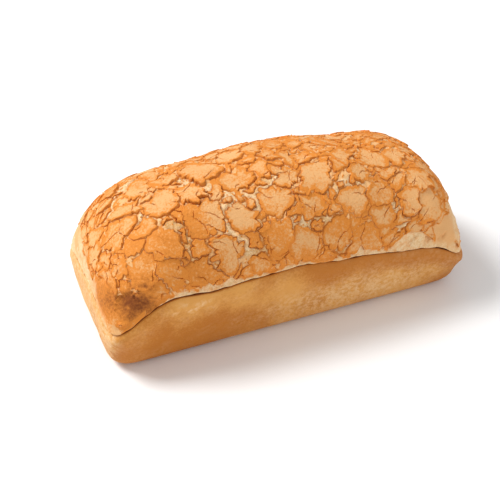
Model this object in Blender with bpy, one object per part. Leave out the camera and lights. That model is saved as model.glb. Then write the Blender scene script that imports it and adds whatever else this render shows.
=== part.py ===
"""Tin loaf with a crackle crust: one piece of bread, modelled as one closed solid in metres.

X runs along the loaf and +Z is up. The base lies flat on Z = 0 with the origin at its middle.
The tin-baked part has four nearly upright sides. Above the fold line the dough has risen into a
dome, whose brittle top layer has broken into plates with splits of softer dough between them.
"""

import math

import bmesh
import bpy
import numpy as np
from mathutils import Vector
from mathutils.geometry import delaunay_2d_cdt

NAME = "loaf"
COLLECTION = "tin loaf"

# Tin-baked part
HALF_LENGTH = 0.1300
HALF_WIDTH = 0.0570
CORNER_RADIUS = 0.0147
BASE_ROUNDING = 0.0118
BASE_TURNS = (90.0, 62.0, 32.0, 0.0)
TAPER_LENGTH = 0.0010
TAPER_WIDTH = 0.0073
SHOULDER_BULGE = 0.0012

# Fold between the tin-baked sides and the dome
FOLD_HEIGHT = 0.0573
LEFT_DROP = 0.22
LEFT_DROP_POWER = 3.7
RIGHT_DROP = 0.33
RIGHT_DROP_POWER = 1.5
CORNER_DIP = 0.0107
CORNER_DIP_REACH = 0.0148
FOLD_WAVER = 0.0008
FOLD_WAVE = 0.045
FOLD_DEPTH = 0.0020
FOLD_LIP = 0.0012
SHOULDER_DROP = 0.0085
SHOULDER_START = 0.0003
SHOULDER_START_SHARE = 0.26
TIGHTER_CORNER = 0.3

# Dome
DOME_RISE = 0.0508
DOME_INSET = 0.0008
ROLL_HEIGHT = 0.0030
LEFT_RUN = 0.047
LEFT_POWER = 2.2
RIGHT_RUN = 0.031
RIGHT_POWER = 2.12
SIDE_POWER = 2.26
SIDE_ROOT = 1.93
CROWN_FALL = 0.20
CROWN_SHIFT = 0.16

# Crackle crust
CRUST_THICKNESS = 0.0017
PLATE_LIFT = 0.0006
PLATE_SEED = 14
PLATE_SIZES = ((0.0135, 250), (0.0112, 500), (0.0092, 900), (0.0074, 1500), (0.0058, 2500))
PLATE_SPREAD = 0.15
PLATE_CROWDING = 0.84
SMALLER_FAR_SIDE = 0.80
FAR_SIDE = (-0.005, 0.045)
LOAF_END = (0.105, 0.130)
EDGE_WAVER = 0.0018
WAVER_SEEDS = (21, 22, 23)
WAVER_WAVE = 0.021
WAVER_SHARE = 0.75
JAG_SEEDS = (31, 32, 33)
JAG_WAVE = 0.008
JAG_SHARE = 0.4
CRACK_HALF_WIDTH = 0.0004
SPLIT_HALF_WIDTH = 0.0028
WALL_RUN = 0.0008
BARE_BAND = 0.0060
BARE_BAND_WAVE = 0.035

# Patches: the middle and the half sizes of each. Two are bare dough, and in two the plates are
# pulled apart.
BARE_CORNER = ((-0.128, -0.048, 0.040), (0.016, 0.020, 0.016))
BARE_END = ((0.134, -0.030, 0.055), (0.010, 0.040, 0.022))
PULLED_SHOULDER = ((-0.045, -0.030, 0.095), (0.075, 0.028, 0.030))
PULLED_CROWN = ((0.030, -0.015, 0.105), (0.060, 0.022, 0.030))
CROWN_PULL = 0.7

# The largest plates on the near side: millimetres along and across the dome from its middle, by
# tape, and the radius of each
LARGEST_PLATES = (
    (-115, -17, 12.5), (-114, -58, 11.5), (-104, -4, 11.0), (-94, -48, 12.0), (-91, 11, 11.0),
    (-83, -15, 12.0), (-79, -71, 11.5), (-61, -37, 14.0), (-51, 3, 13.5), (-37, -42, 10.5),
    (-31, -13, 11.5), (-17, -60, 11.0), (-12, -36, 12.0), (1, -21, 10.5), (11, -46, 9.0),
    (41, -47, 11.5), (64, -41, 11.5), (65, -59, 9.5), (88, -52, 9.0), (106, -59, 12.0),
)

# Mesh: spacing of the points along a plate's rim, inside plates, and along the dome's edge
RIM_SPACING = 0.0038
INNER_SPACING = 0.0075
EDGE_SPACING = 0.0042
RAY_STEPS = 48
RAY_REACH = 2.6
FEWEST_CORNERS = 6
SMALLEST_PLATE = 0.002
FOOT_FROM_GAP = 0.0014
SHEET_MARGIN = 0.985
SAME_POINT = 1e-5
CORNER_CUT = 1.0 - math.sqrt(0.5)
CRUST_COLOUR = (0.60, 0.29, 0.09, 1.0)


def soft_step(low, high, value):
    """0 below low, 1 above high, and a smooth curve between."""
    t = np.clip((value - low) / (high - low), 0.0, 1.0)
    return t * t * (3.0 - 2.0 * t)


def ripple(points, wavelength, seed, waves=12):
    """Smooth unevenness of about unit size: plane waves in seeded directions, added up."""
    rng = np.random.default_rng(seed)
    direction = rng.normal(size=(waves, 3))
    direction /= np.linalg.norm(direction, axis=1, keepdims=True)
    pitch = wavelength * rng.uniform(0.7, 1.5, (waves, 1))
    phase = rng.uniform(0.0, 2.0 * math.pi, waves)
    angle = points @ (direction * 2.0 * math.pi / pitch).T + phase
    return np.sin(angle).sum(axis=-1) * math.sqrt(2.0 / waves)


def rounded_plan(u, v, half_length, half_width, radius):
    """A square of u and v from -1 to 1 drawn out to a rectangle with rounded corners."""
    cut_x = CORNER_CUT * radius / half_length
    cut_y = CORNER_CUT * radius / half_width
    power_v = half_width * (1.0 - cut_y) / (half_length * cut_x)
    power_u = half_length * (1.0 - cut_x) / (half_width * cut_y)
    x = half_length * u * (1.0 - cut_x * np.abs(v) ** power_v)
    y = half_width * v * (1.0 - cut_y * np.abs(u) ** power_u)
    return x, y


def fold_height(x, y):
    """Height of the fold: it arches along the loaf, drops to both ends and dips at the corners."""
    along = np.clip(np.abs(x) / HALF_LENGTH, 0.0, 1.1)
    drop = np.where(x < 0.0, LEFT_DROP * along**LEFT_DROP_POWER, RIGHT_DROP * along**RIGHT_DROP_POWER)
    to_corner = np.hypot(np.abs(x) - HALF_LENGTH, np.abs(y) - HALF_WIDTH)
    dip = CORNER_DIP * np.exp(-0.5 * (to_corner / CORNER_DIP_REACH) ** 2)
    flat = np.stack([x, y, np.zeros_like(x)], axis=-1)
    return FOLD_HEIGHT * (1.0 - drop) - dip + FOLD_WAVER * ripple(flat, FOLD_WAVE, 3)


def quarter_curve(distance, run, power):
    """Rises from 0 at the edge to 1 at a distance of run, steep first and level last."""
    t = np.clip(1.0 - distance / run, 0.0, 1.0)
    return (1.0 - t**power) ** (1.0 / power)


def dome_at(u, v):
    """The smooth dome, without its plates, for u along and v across from -1 to 1."""
    half_length = HALF_LENGTH - DOME_INSET
    x, y = rounded_plan(u, v, half_length, HALF_WIDTH - DOME_INSET, CORNER_RADIUS)
    along = quarter_curve((1.0 + u) * half_length, LEFT_RUN, LEFT_POWER)
    along = along * quarter_curve((1.0 - u) * half_length, RIGHT_RUN, RIGHT_POWER)
    across = (1.0 - np.abs(v) ** SIDE_POWER) ** (1.0 / SIDE_ROOT)
    crown = 1.0 - CROWN_FALL * (u - CROWN_SHIFT) ** 2
    rise = (DOME_RISE - ROLL_HEIGHT) * along * across * crown
    return np.stack([x, y, fold_height(x, y) + ROLL_HEIGHT + rise], axis=-1)


def even_steps(line):
    """A function from -1..1 to the parameter that walks the line in even steps of length."""
    fine = np.sin(np.linspace(-0.5 * math.pi, 0.5 * math.pi, 2001))
    walked = np.linalg.norm(np.diff(line(fine), axis=0), axis=1).cumsum()
    walked = np.concatenate([[0.0], walked]) / walked[-1] * 2.0 - 1.0
    return lambda share: np.interp(share, walked, fine)


ALONG_RIDGE = even_steps(lambda u: dome_at(u, np.zeros_like(u)))
ACROSS_MIDDLE = even_steps(lambda v: dome_at(np.zeros_like(v), v))


def dome_point(p, q):
    """The smooth dome in even steps: p runs along it and q across it, both from -1 to 1."""
    to_side = np.abs(q) ** 3
    to_end = np.abs(p) ** 3
    u = ALONG_RIDGE(p) * (1.0 - to_side) + p * to_side
    v = ACROSS_MIDDLE(q) * (1.0 - to_end) + q * to_end
    return dome_at(u, v)


def side_point(p, q, inset, height_of):
    """A point on the loaf's outline, drawn in by its inset, at the height that height_of gives."""
    radius = CORNER_RADIUS - TIGHTER_CORNER * max(inset[0], 0.0)
    x, y = rounded_plan(p, q, HALF_LENGTH - inset[0], HALF_WIDTH - inset[1], radius)
    return np.stack([x, y, height_of(x, y)], axis=-1)


def shoulder_drop(x, y):
    """How far below the fold the tin-baked side is fullest: less where the side is low."""
    return SHOULDER_DROP * fold_height(x, y) / FOLD_HEIGHT


def side_rows():
    """The rows below the dome, from its edge down: how far in each is, and its height."""
    rows = [
        ((0.0, 0.0), lambda x, y: fold_height(x, y) + FOLD_LIP),
        ((FOLD_DEPTH, FOLD_DEPTH), fold_height),
        ((SHOULDER_START, SHOULDER_START),
         lambda x, y: fold_height(x, y) - SHOULDER_START_SHARE * shoulder_drop(x, y)),
        ((-SHOULDER_BULGE, -SHOULDER_BULGE), lambda x, y: fold_height(x, y) - shoulder_drop(x, y)),
    ]
    for tilt in (math.radians(turn) for turn in BASE_TURNS):
        inset = BASE_ROUNDING * (1.0 - math.sin(tilt))
        height = BASE_ROUNDING * (1.0 - math.cos(tilt))
        taper = 1.0 - height / FOLD_HEIGHT
        inset = (inset + TAPER_LENGTH * taper, inset + TAPER_WIDTH * taper)
        rows.append((inset, lambda x, y, height=height: np.full_like(x, height)))
    return rows


def plate_size_factor(points):
    """Plates are smaller on the far side and on the ends than on the near shoulder."""
    far = soft_step(*FAR_SIDE, points[..., 1])
    end = soft_step(*LOAF_END, np.abs(points[..., 0]))
    return 1.0 - (1.0 - SMALLER_FAR_SIDE) * np.maximum(far, end)


def sheet_size():
    """Half the length and half the width of the dome, as walked over its top."""
    line = np.linspace(-1.0, 1.0, 400)
    zero = np.zeros_like(line)
    length = np.linalg.norm(np.diff(dome_point(line, zero), axis=0), axis=1).sum()
    width = np.linalg.norm(np.diff(dome_point(zero, line), axis=0), axis=1).sum()
    return np.array([length, width]) / 2.0


def plate_layout():
    """Where each plate's centre is on the p, q sheet and on the dome, and its radius.

    The largest plates come first. Smaller and smaller ones are then thrown at random, and each
    stays where it finds room.
    """
    rng = np.random.default_rng(PLATE_SEED)
    largest = np.array(LARGEST_PLATES) * 0.001
    sheet = largest[:, :2] / sheet_size()
    centres = dome_point(sheet[:, 0], sheet[:, 1])
    radii = largest[:, 2]
    for size, throws in PLATE_SIZES:
        throw = rng.uniform(-1.0, 1.0, (throws, 2))
        spots = dome_point(throw[:, 0], throw[:, 1])
        sizes = size * plate_size_factor(spots) * rng.uniform(1.0 - PLATE_SPREAD, 1.0 + PLATE_SPREAD, throws)
        for place, spot, radius in zip(throw, spots, sizes):
            clearance = np.linalg.norm(centres - spot, axis=1) - PLATE_CROWDING * (radii + radius)
            if clearance.min() > 0.0:
                sheet = np.vstack([sheet, place])
                centres = np.vstack([centres, spot])
                radii = np.append(radii, radius)
    return sheet, centres, radii


def nearest_crack(points, centres, radii, neighbours=9):
    """For each point: its plate, the plate across the nearest crack, and the distance to that crack."""
    reach = ((points[:, None, :] - centres[None]) ** 2).sum(axis=2) - radii**2
    order = np.argsort(reach, axis=1)[:, :neighbours]
    rows = np.arange(len(points))
    own = order[:, 0]
    distance = np.full(len(points), np.inf)
    across = own.copy()
    for other in order.T[1:]:
        length = np.linalg.norm(centres[own] - centres[other], axis=1)
        gap = (reach[rows, other] - reach[rows, own]) / (2.0 * length)
        across = np.where(gap < distance, other, across)
        distance = np.minimum(gap, distance)
    return own, across, distance


def wavered(points):
    """Points shifted a little, so that the cracks between the plates run unevenly."""
    shift = np.stack([ripple(points, WAVER_WAVE, seed) for seed in WAVER_SEEDS], axis=-1)
    jags = np.stack([ripple(points, JAG_WAVE, seed) for seed in JAG_SEEDS], axis=-1)
    return points + EDGE_WAVER * (WAVER_SHARE * shift + JAG_SHARE * jags)


def patch(points, centre, size):
    """1 at centre, fading to 0 outside an egg-shaped patch of the given half sizes."""
    return np.exp(-(((points - np.array(centre)) / np.array(size)) ** 2).sum(axis=-1))


def crust_cover(points):
    """1 where the brittle crust lies, 0 on the bare dough along the fold and at the end corners."""
    above = points[:, 2] - fold_height(points[:, 0], points[:, 1])
    edge = BARE_BAND * (1.0 + 0.5 * ripple(points * (1.0, 1.0, 0.0), BARE_BAND_WAVE, 5))
    cover = soft_step(0.6 * edge, 1.4 * edge, above)
    bare = np.maximum(patch(points, *BARE_CORNER), patch(points, *BARE_END))
    return cover * (1.0 - soft_step(0.25, 0.7, bare))


def stretch(points):
    """How far the rising dough has pulled the plates apart: most along the near shoulder."""
    shoulder = patch(points, *PULLED_SHOULDER)
    return np.clip(shoulder + CROWN_PULL * patch(points, *PULLED_CROWN), 0.0, 1.0)


def dome_normal(p, q, step=0.002):
    """The direction straight out of the smooth dome."""
    low_p, high_p = np.clip(p - step, -0.999, 0.999), np.clip(p + step, -0.999, 0.999)
    low_q, high_q = np.clip(q - step, -0.999, 0.999), np.clip(q + step, -0.999, 0.999)
    along = dome_point(high_p, q) - dome_point(low_p, q)
    across = dome_point(p, high_q) - dome_point(p, low_q)
    normal = np.cross(along, across)
    return normal / np.linalg.norm(normal, axis=1, keepdims=True)


class CrustDrawing:
    """Points on the p, q sheet with the height of each above the dough, and the rims that join them."""

    def __init__(self):
        self.points = []
        self.heights = []
        self.rims = []

    def add(self, points, heights):
        first = len(self.points)
        self.points.extend(tuple(point) for point in points)
        self.heights.extend(np.broadcast_to(heights, len(points)))
        return first

    def add_rim(self, points, height):
        first = self.add(points, height)
        count = len(points)
        self.rims.extend((first + i, first + (i + 1) % count) for i in range(count))


def steps_above_zero(values):
    """Along each row, how many steps, with a fraction, before the values first drop below zero."""
    below = values < 0.0
    step = np.where(below.any(axis=1), below.argmax(axis=1), values.shape[1] - 1)
    step = np.maximum(step, 1)
    rows = np.arange(len(values))
    before, after = values[rows, step - 1], values[rows, step]
    return step - 1 + np.clip(before / np.maximum(before - after, 1e-9), 0.0, 1.0)


class PlateRays:
    """Rays that run over the dome from a plate's centre, with what they meet on their way."""

    def __init__(self, number, layout, openness):
        sheet, centres, radii = layout
        self.centre = sheet[number]
        self.count = max(FEWEST_CORNERS, round(2.0 * math.pi * (radii[number] - WALL_RUN) / RIM_SPACING))
        angle = np.linspace(0.0, 2.0 * math.pi, self.count, endpoint=False) + number
        self.ways = np.stack([np.cos(angle), np.sin(angle)], axis=1) / sheet_size()
        self.stride = RAY_REACH * radii[number] / RAY_STEPS
        steps = np.tile(np.arange(RAY_STEPS, dtype=float), (self.count, 1))
        places = np.stack([self.at(column) for column in steps.T], axis=1)
        spots = dome_point(places[..., 0], places[..., 1]).reshape(-1, 3)
        shape = (self.count, RAY_STEPS)
        own, across, distance = nearest_crack(wavered(spots), centres, radii)
        self.across = across.reshape(shape)
        self.distance = np.where(own == number, distance, -distance).reshape(shape)
        self.cover = crust_cover(spots).reshape(shape)
        self.gap = (CRACK_HALF_WIDTH + SPLIT_HALF_WIDTH * stretch(spots) * openness).reshape(shape)

    def at(self, steps):
        """Points on the p, q sheet after so many steps along each ray."""
        ends = self.centre + self.ways * (steps * self.stride)[:, None]
        return np.clip(ends, -SHEET_MARGIN, SHEET_MARGIN)

    def reach(self, clearance):
        """Steps along each ray to where the crack, or the bare dough, is nearer than clearance."""
        covered = (self.cover - 0.5) * BARE_BAND
        return steps_above_zero(np.minimum(self.distance - clearance, covered))


def draw_plate(drawing, number, layout, openness, height):
    """Draws one plate's rim, the foot of its wall where a split is wide, and the crack's middle."""
    rays = PlateRays(number, layout, openness)
    rim = rays.reach(rays.gap + WALL_RUN)
    foot = rays.reach(rays.gap)
    middle = steps_above_zero(rays.distance)
    if rim.max() * rays.stride < SMALLEST_PLATE or rays.cover[0, 0] < 0.5:
        return
    drawing.add_rim(rays.at(np.maximum(rim, 0.4 * foot)), height)
    rows = np.arange(rays.count)
    last = middle.astype(int)
    covered = rays.cover[rows, last] > 0.5
    drawing.add(rays.at(middle)[covered & (rays.across[rows, last] > number)], 0.0)
    drawing.add(rays.at(foot)[~covered | (rays.gap[rows, last] > FOOT_FROM_GAP)], 0.0)


def draw_lattice(drawing, layout, heights):
    """Fills plates and bare dough with an even lattice of points, clear of the rims and cracks."""
    scale = sheet_size()
    counts = np.round(2.0 * scale / INNER_SPACING).astype(int)
    p, q = np.meshgrid(*(np.linspace(-1.0, 1.0, n + 1)[1:-1] for n in counts), indexing="ij")
    p[:, ::2] += 0.5 * INNER_SPACING / scale[0]
    on_sheet = np.abs(p) < SHEET_MARGIN
    p, q = p[on_sheet], q[on_sheet]
    spots = dome_point(p, q)
    own, _, distance = nearest_crack(wavered(spots), layout[1], layout[2])
    cover = crust_cover(spots)
    clear = distance > CRACK_HALF_WIDTH + WALL_RUN + 0.5 * RIM_SPACING
    keep = ((cover < 0.05) | (cover > 0.95)) & ((cover < 0.5) | clear)
    height = np.where(cover > 0.5, heights[own], 0.0)
    drawing.add(np.stack([p, q], axis=1)[keep], height[keep])


def draw_border(drawing):
    """Points along the four edges of the sheet."""
    along, across = np.round(2.0 * np.array([HALF_LENGTH, HALF_WIDTH]) / EDGE_SPACING).astype(int)
    p = np.linspace(-1.0, 1.0, along + 1)
    q = np.linspace(-1.0, 1.0, across + 1)[1:-1]
    for side in (-1.0, 1.0):
        drawing.add(np.stack([p, np.full_like(p, side)], axis=1), 0.0)
        drawing.add(np.stack([np.full_like(q, side), q], axis=1), 0.0)


def crust_sheet():
    """The dome as a flat sheet of triangles in p and q, with each corner's height above the dough."""
    layout = plate_layout()
    rng = np.random.default_rng(PLATE_SEED + 1)
    plates = len(layout[2])
    openness = rng.uniform(0.2, 1.0, plates)
    heights = CRUST_THICKNESS + PLATE_LIFT * rng.uniform(-1.0, 1.0, plates)
    drawing = CrustDrawing()
    draw_border(drawing)
    for number in range(plates):
        draw_plate(drawing, number, layout, openness[number], heights[number])
    draw_lattice(drawing, layout, heights)
    scale = sheet_size()
    flat = [Vector(point) for point in np.array(drawing.points) * scale]
    corners, _, faces, sources, _, _ = delaunay_2d_cdt(flat, drawing.rims, [], 0, SAME_POINT)
    height = [max((drawing.heights[i] for i in source), default=0.0) for source in sources]
    corners = np.array([corner[:] for corner in corners]) / scale
    return corners, height, faces


def loaf_cage():
    """The crust sheet, with its border folded down in rows and closed by the base."""
    corners, heights, faces = crust_sheet()
    cage = bmesh.new()
    height_layer = cage.verts.layers.float.new("height")
    for (p, q), height in zip(corners, heights):
        vert = cage.verts.new((p, q, 0.0))
        vert[height_layer] = height
    cage.verts.ensure_lookup_table()
    for face in faces:
        cage.faces.new([cage.verts[i] for i in face])
    border = [edge for edge in cage.edges if edge.is_boundary]
    for row in range(1, len(side_rows()) + 1):
        fresh = bmesh.ops.extrude_edge_only(cage, edges=border)["geom"]
        for item in fresh:
            if isinstance(item, bmesh.types.BMVert):
                item.co.z = -row
        border = [item for item in fresh if isinstance(item, bmesh.types.BMEdge) and item.is_boundary]
    bmesh.ops.triangle_fill(cage, edges=border, use_beauty=True, normal=(0.0, 0.0, -1.0))
    return cage


def shape_loaf(cage):
    """Moves every corner of the cage to its place on the loaf."""
    height_layer = cage.verts.layers.float["height"]
    spots = np.array([vert.co[:] for vert in cage.verts])
    heights = np.array([vert[height_layer] for vert in cage.verts])
    row = np.rint(-spots[:, 2]).astype(int)
    p, q = np.clip(spots[:, 0], -1.0, 1.0), np.clip(spots[:, 1], -1.0, 1.0)
    places = dome_point(p, q)
    dome = (row == 0) & (heights > 0.0)
    places[dome] += dome_normal(p[dome], q[dome]) * heights[dome, None]
    for number, (inset, height_of) in enumerate(side_rows(), start=1):
        here = row == number
        places[here] = side_point(p[here], q[here], inset, height_of)
    for vert, place in zip(cage.verts, places):
        vert.co = place
    bmesh.ops.recalc_face_normals(cage, faces=cage.faces)


def crust_material():
    """Golden brown baked crust."""
    material = bpy.data.materials.new("baked crust")
    material.use_nodes = True
    shader = material.node_tree.nodes["Principled BSDF"]
    shader.inputs["Base Color"].default_value = CRUST_COLOUR
    shader.inputs["Roughness"].default_value = 0.7
    shader.inputs["Metallic"].default_value = 0.0
    return material


def make_loaf(collection):
    """The loaf as one object."""
    cage = loaf_cage()
    shape_loaf(cage)
    bmesh.ops.triangulate(cage, faces=cage.faces, quad_method="SHORT_EDGE")
    mesh = bpy.data.meshes.new(NAME)
    cage.to_mesh(mesh)
    cage.free()
    mesh.materials.append(crust_material())
    mesh.shade_smooth()
    mesh.set_sharp_from_angle(angle=math.radians(35.0))
    loaf = bpy.data.objects.new(NAME, mesh)
    collection.objects.link(loaf)
    return loaf


def main():
    for thing in list(bpy.data.objects):
        bpy.data.objects.remove(thing, do_unlink=True)
    collection = bpy.data.collections.new(COLLECTION)
    bpy.context.scene.collection.children.link(collection)
    loaf = make_loaf(collection)
    print(loaf.name, len(loaf.data.polygons), "triangles", [round(1000 * side, 1) for side in loaf.dimensions])


main()
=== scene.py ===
# %% [markdown]
# # Tin loaf with a crackle crust
# The loaf was baked in a tin. Below the fold it has the tin's smooth golden sides. Above the fold
# the dough rose freely into a dome, under a coat of rice paste that dried, browned and broke into
# plates while the dough went on growing. This lesson builds both parts as closed meshes and
# finishes them with procedural materials.

# %% Load the frame
import math

import bmesh
import bpy
import numpy as np
from mathutils import Matrix, Vector, kdtree
from mathutils.geometry import delaunay_2d_cdt


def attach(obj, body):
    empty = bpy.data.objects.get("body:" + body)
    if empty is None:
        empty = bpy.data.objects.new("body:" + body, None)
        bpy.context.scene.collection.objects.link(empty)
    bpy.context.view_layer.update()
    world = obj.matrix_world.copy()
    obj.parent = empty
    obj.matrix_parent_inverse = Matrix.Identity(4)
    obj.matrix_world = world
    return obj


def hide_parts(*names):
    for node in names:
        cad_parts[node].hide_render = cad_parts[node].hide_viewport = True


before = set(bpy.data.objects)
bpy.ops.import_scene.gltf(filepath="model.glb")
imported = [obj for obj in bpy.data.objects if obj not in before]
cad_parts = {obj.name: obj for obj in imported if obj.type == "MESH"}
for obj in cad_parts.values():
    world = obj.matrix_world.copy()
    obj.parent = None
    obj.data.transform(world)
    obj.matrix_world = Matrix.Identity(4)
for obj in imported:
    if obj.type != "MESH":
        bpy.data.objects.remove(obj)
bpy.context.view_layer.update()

MM = 0.001

# %% [markdown]
# ## Camera
# The photo looks down on the loaf from above its left front corner. A camera can be aimed with a
# Track To constraint, but here the matrix is put together from its three axes. That keeps the
# slight roll of the photo, and a small shift puts the loaf where it stands in the frame.

# %% Place the camera
AZIMUTH = math.radians(22.65)
ELEVATION = math.radians(36.76)
ROLL = math.radians(0.49)
DISTANCE = 0.750
AIM = Vector((0.0, 0.0, 0.050))

back = Vector((-math.sin(AZIMUTH) * math.cos(ELEVATION), -math.cos(AZIMUTH) * math.cos(ELEVATION),
               math.sin(ELEVATION)))
level = Vector((0.0, 0.0, 1.0)).cross(back).normalized()
upright = back.cross(level)
right = level * math.cos(ROLL) + upright * math.sin(ROLL)
up = upright * math.cos(ROLL) - level * math.sin(ROLL)
camera = bpy.data.objects.new("camera", bpy.data.cameras.new("camera"))
camera.data.lens = 77.62
camera.data.shift_x = -0.035
camera.data.shift_y = -0.0433
axes = Matrix((right, up, back)).transposed().to_4x4()
camera.matrix_world = Matrix.Translation(AIM + back * DISTANCE) @ axes
bpy.context.scene.collection.objects.link(camera)
bpy.context.scene.camera = camera
print("camera at", [round(value, 3) for value in camera.location])

# %% [markdown]
# ## The loaf's form
# The form follows the same named sizes as the solid model, so that the fine meshes lie on it. The
# outline is a rectangle with rounded corners. The fold is the line where the tin ended: it arches
# along the loaf and dips at the corners. The dome is a product of curves along and across.

# %% Driving sizes
HALF_LENGTH, HALF_WIDTH, CORNER_RADIUS = 0.1300, 0.0570, 0.0147
BASE_ROUNDING, TAPER_LENGTH, TAPER_WIDTH, SHOULDER_BULGE = 0.0118, 0.0010, 0.0073, 0.0012
FOLD_HEIGHT, LEFT_DROP, LEFT_DROP_POWER, RIGHT_DROP, RIGHT_DROP_POWER = 0.0573, 0.22, 3.7, 0.33, 1.5
CORNER_DIP, CORNER_DIP_REACH, FOLD_WAVER, SHOULDER_DROP = 0.0107, 0.0148, 0.0008, 0.0085
DOME_RISE, DOME_INSET, ROLL_HEIGHT = 0.0508, 0.0008, 0.0030
LEFT_RUN, LEFT_POWER, RIGHT_RUN, RIGHT_POWER = 0.047, 2.2, 0.031, 2.12
SIDE_POWER, SIDE_ROOT, CROWN_FALL, CROWN_SHIFT = 2.26, 1.93, 0.20, 0.16
CORNER_CUT = 1.0 - math.sqrt(0.5)
print("tin:", 2.0 * HALF_LENGTH / MM, "by", 2.0 * HALF_WIDTH / MM, "mm, fold at", FOLD_HEIGHT / MM, "mm")


# %% Curves of the form
def soft_step(low, high, value):
    """0 below low, 1 above high, and a smooth curve between."""
    t = np.clip((value - low) / (high - low), 0.0, 1.0)
    return t * t * (3.0 - 2.0 * t)


def ripple(points, wavelength, seed, waves=12):
    """Smooth unevenness of about unit size: plane waves in seeded directions, added up."""
    rng = np.random.default_rng(seed)
    direction = rng.normal(size=(waves, 3))
    direction /= np.linalg.norm(direction, axis=1, keepdims=True)
    pitch = wavelength * rng.uniform(0.7, 1.5, (waves, 1))
    phase = rng.uniform(0.0, 2.0 * math.pi, waves)
    angle = points @ (direction * 2.0 * math.pi / pitch).T + phase
    return np.sin(angle).sum(axis=-1) * math.sqrt(2.0 / waves)


def patch(points, centre, size):
    """1 at centre, fading to 0 outside an egg-shaped patch of the given half sizes."""
    return np.exp(-(((points - np.array(centre)) / np.array(size)) ** 2).sum(axis=-1))


print("a soft step is", soft_step(0.0, 1.0, np.array([0.25, 0.5, 0.75])), "at its quarters")

# %% The fold and the dome
def rounded_plan(u, v, half_length, half_width, radius):
    """A square of u and v from -1 to 1 drawn out to a rectangle with rounded corners."""
    cut_x = CORNER_CUT * radius / half_length
    cut_y = CORNER_CUT * radius / half_width
    power_v = half_width * (1.0 - cut_y) / (half_length * cut_x)
    power_u = half_length * (1.0 - cut_x) / (half_width * cut_y)
    x = half_length * u * (1.0 - cut_x * np.abs(v) ** power_v)
    y = half_width * v * (1.0 - cut_y * np.abs(u) ** power_u)
    return x, y


def fold_height(x, y):
    """Height of the fold: it arches along the loaf, drops to both ends and dips at the corners."""
    along = np.clip(np.abs(x) / HALF_LENGTH, 0.0, 1.1)
    drop = np.where(x < 0.0, LEFT_DROP * along**LEFT_DROP_POWER, RIGHT_DROP * along**RIGHT_DROP_POWER)
    to_corner = np.hypot(np.abs(x) - HALF_LENGTH, np.abs(y) - HALF_WIDTH)
    dip = CORNER_DIP * np.exp(-0.5 * (to_corner / CORNER_DIP_REACH) ** 2)
    flat = np.stack([x, y, np.zeros_like(x)], axis=-1)
    return FOLD_HEIGHT * (1.0 - drop) - dip + FOLD_WAVER * ripple(flat, 0.045, 3)


def quarter_curve(distance, run, power):
    """Rises from 0 at the edge to 1 at a distance of run, steep first and level last."""
    t = np.clip(1.0 - distance / run, 0.0, 1.0)
    return (1.0 - t**power) ** (1.0 / power)


def dome_at(u, v):
    """The smooth dome, without its plates, for u along and v across from -1 to 1."""
    half_length = HALF_LENGTH - DOME_INSET
    x, y = rounded_plan(u, v, half_length, HALF_WIDTH - DOME_INSET, CORNER_RADIUS)
    along = quarter_curve((1.0 + u) * half_length, LEFT_RUN, LEFT_POWER)
    along = along * quarter_curve((1.0 - u) * half_length, RIGHT_RUN, RIGHT_POWER)
    across = (1.0 - np.abs(v) ** SIDE_POWER) ** (1.0 / SIDE_ROOT)
    crown = 1.0 - CROWN_FALL * (u - CROWN_SHIFT) ** 2
    rise = (DOME_RISE - ROLL_HEIGHT) * along * across * crown
    return np.stack([x, y, fold_height(x, y) + ROLL_HEIGHT + rise], axis=-1)


print("the middle of the dome is", (dome_at(0.0, 0.0)[2] / MM).round(1), "mm high")

# %% [markdown]
# ## A sheet over the dome
# Cracks are easiest to draw on a flat sheet. Blender could unwrap a mesh for that, but the dome is
# a formula, so the sheet can be one too: s runs along the dome and t across, both in metres as a
# tape would measure them over the top. Even steps on the sheet are nearly even steps on the loaf.

# %% Even steps over the dome
def even_steps(line):
    """A function from -1..1 to the parameter that walks the line in even steps of length."""
    fine = np.sin(np.linspace(-0.5 * math.pi, 0.5 * math.pi, 2001))
    walked = np.linalg.norm(np.diff(line(fine), axis=0), axis=1).cumsum()
    walked = np.concatenate([[0.0], walked]) / walked[-1] * 2.0 - 1.0
    return lambda share: np.interp(share, walked, fine)


ALONG_RIDGE = even_steps(lambda u: dome_at(u, np.zeros_like(u)))
ACROSS_MIDDLE = even_steps(lambda v: dome_at(np.zeros_like(v), v))
print("half way over the ridge is u =", ALONG_RIDGE(0.0).round(3))


# %% Places on the sheet
def dome_point(p, q):
    """The smooth dome in even steps: p runs along it and q across it, both from -1 to 1."""
    to_side = np.abs(q) ** 3
    to_end = np.abs(p) ** 3
    u = ALONG_RIDGE(p) * (1.0 - to_side) + p * to_side
    v = ACROSS_MIDDLE(q) * (1.0 - to_end) + q * to_end
    return dome_at(u, v)


def sheet_size():
    """Half the length and half the width of the dome, as walked over its top."""
    line = np.linspace(-1.0, 1.0, 400)
    zero = np.zeros_like(line)
    length = np.linalg.norm(np.diff(dome_point(line, zero), axis=0), axis=1).sum()
    width = np.linalg.norm(np.diff(dome_point(zero, line), axis=0), axis=1).sum()
    return np.array([length, width]) / 2.0


SHEET = sheet_size()


def on_dome(places):
    """Points of the smooth dome for places on the sheet, in metres along and across."""
    shares = np.clip(places / SHEET, -1.0, 1.0)
    return dome_point(shares[..., 0], shares[..., 1])


def dome_normal(places, step=0.0003):
    """The direction straight out of the smooth dome."""
    limit = SHEET - 2.0 * step
    inner = np.clip(places, -limit, limit)
    along = on_dome(inner + (step, 0.0)) - on_dome(inner - (step, 0.0))
    across = on_dome(inner + (0.0, step)) - on_dome(inner - (0.0, step))
    normal = np.cross(along, across)
    return normal / np.linalg.norm(normal, axis=-1, keepdims=True)


print("the sheet is", (2.0 * SHEET / MM).round(), "mm")

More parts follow.
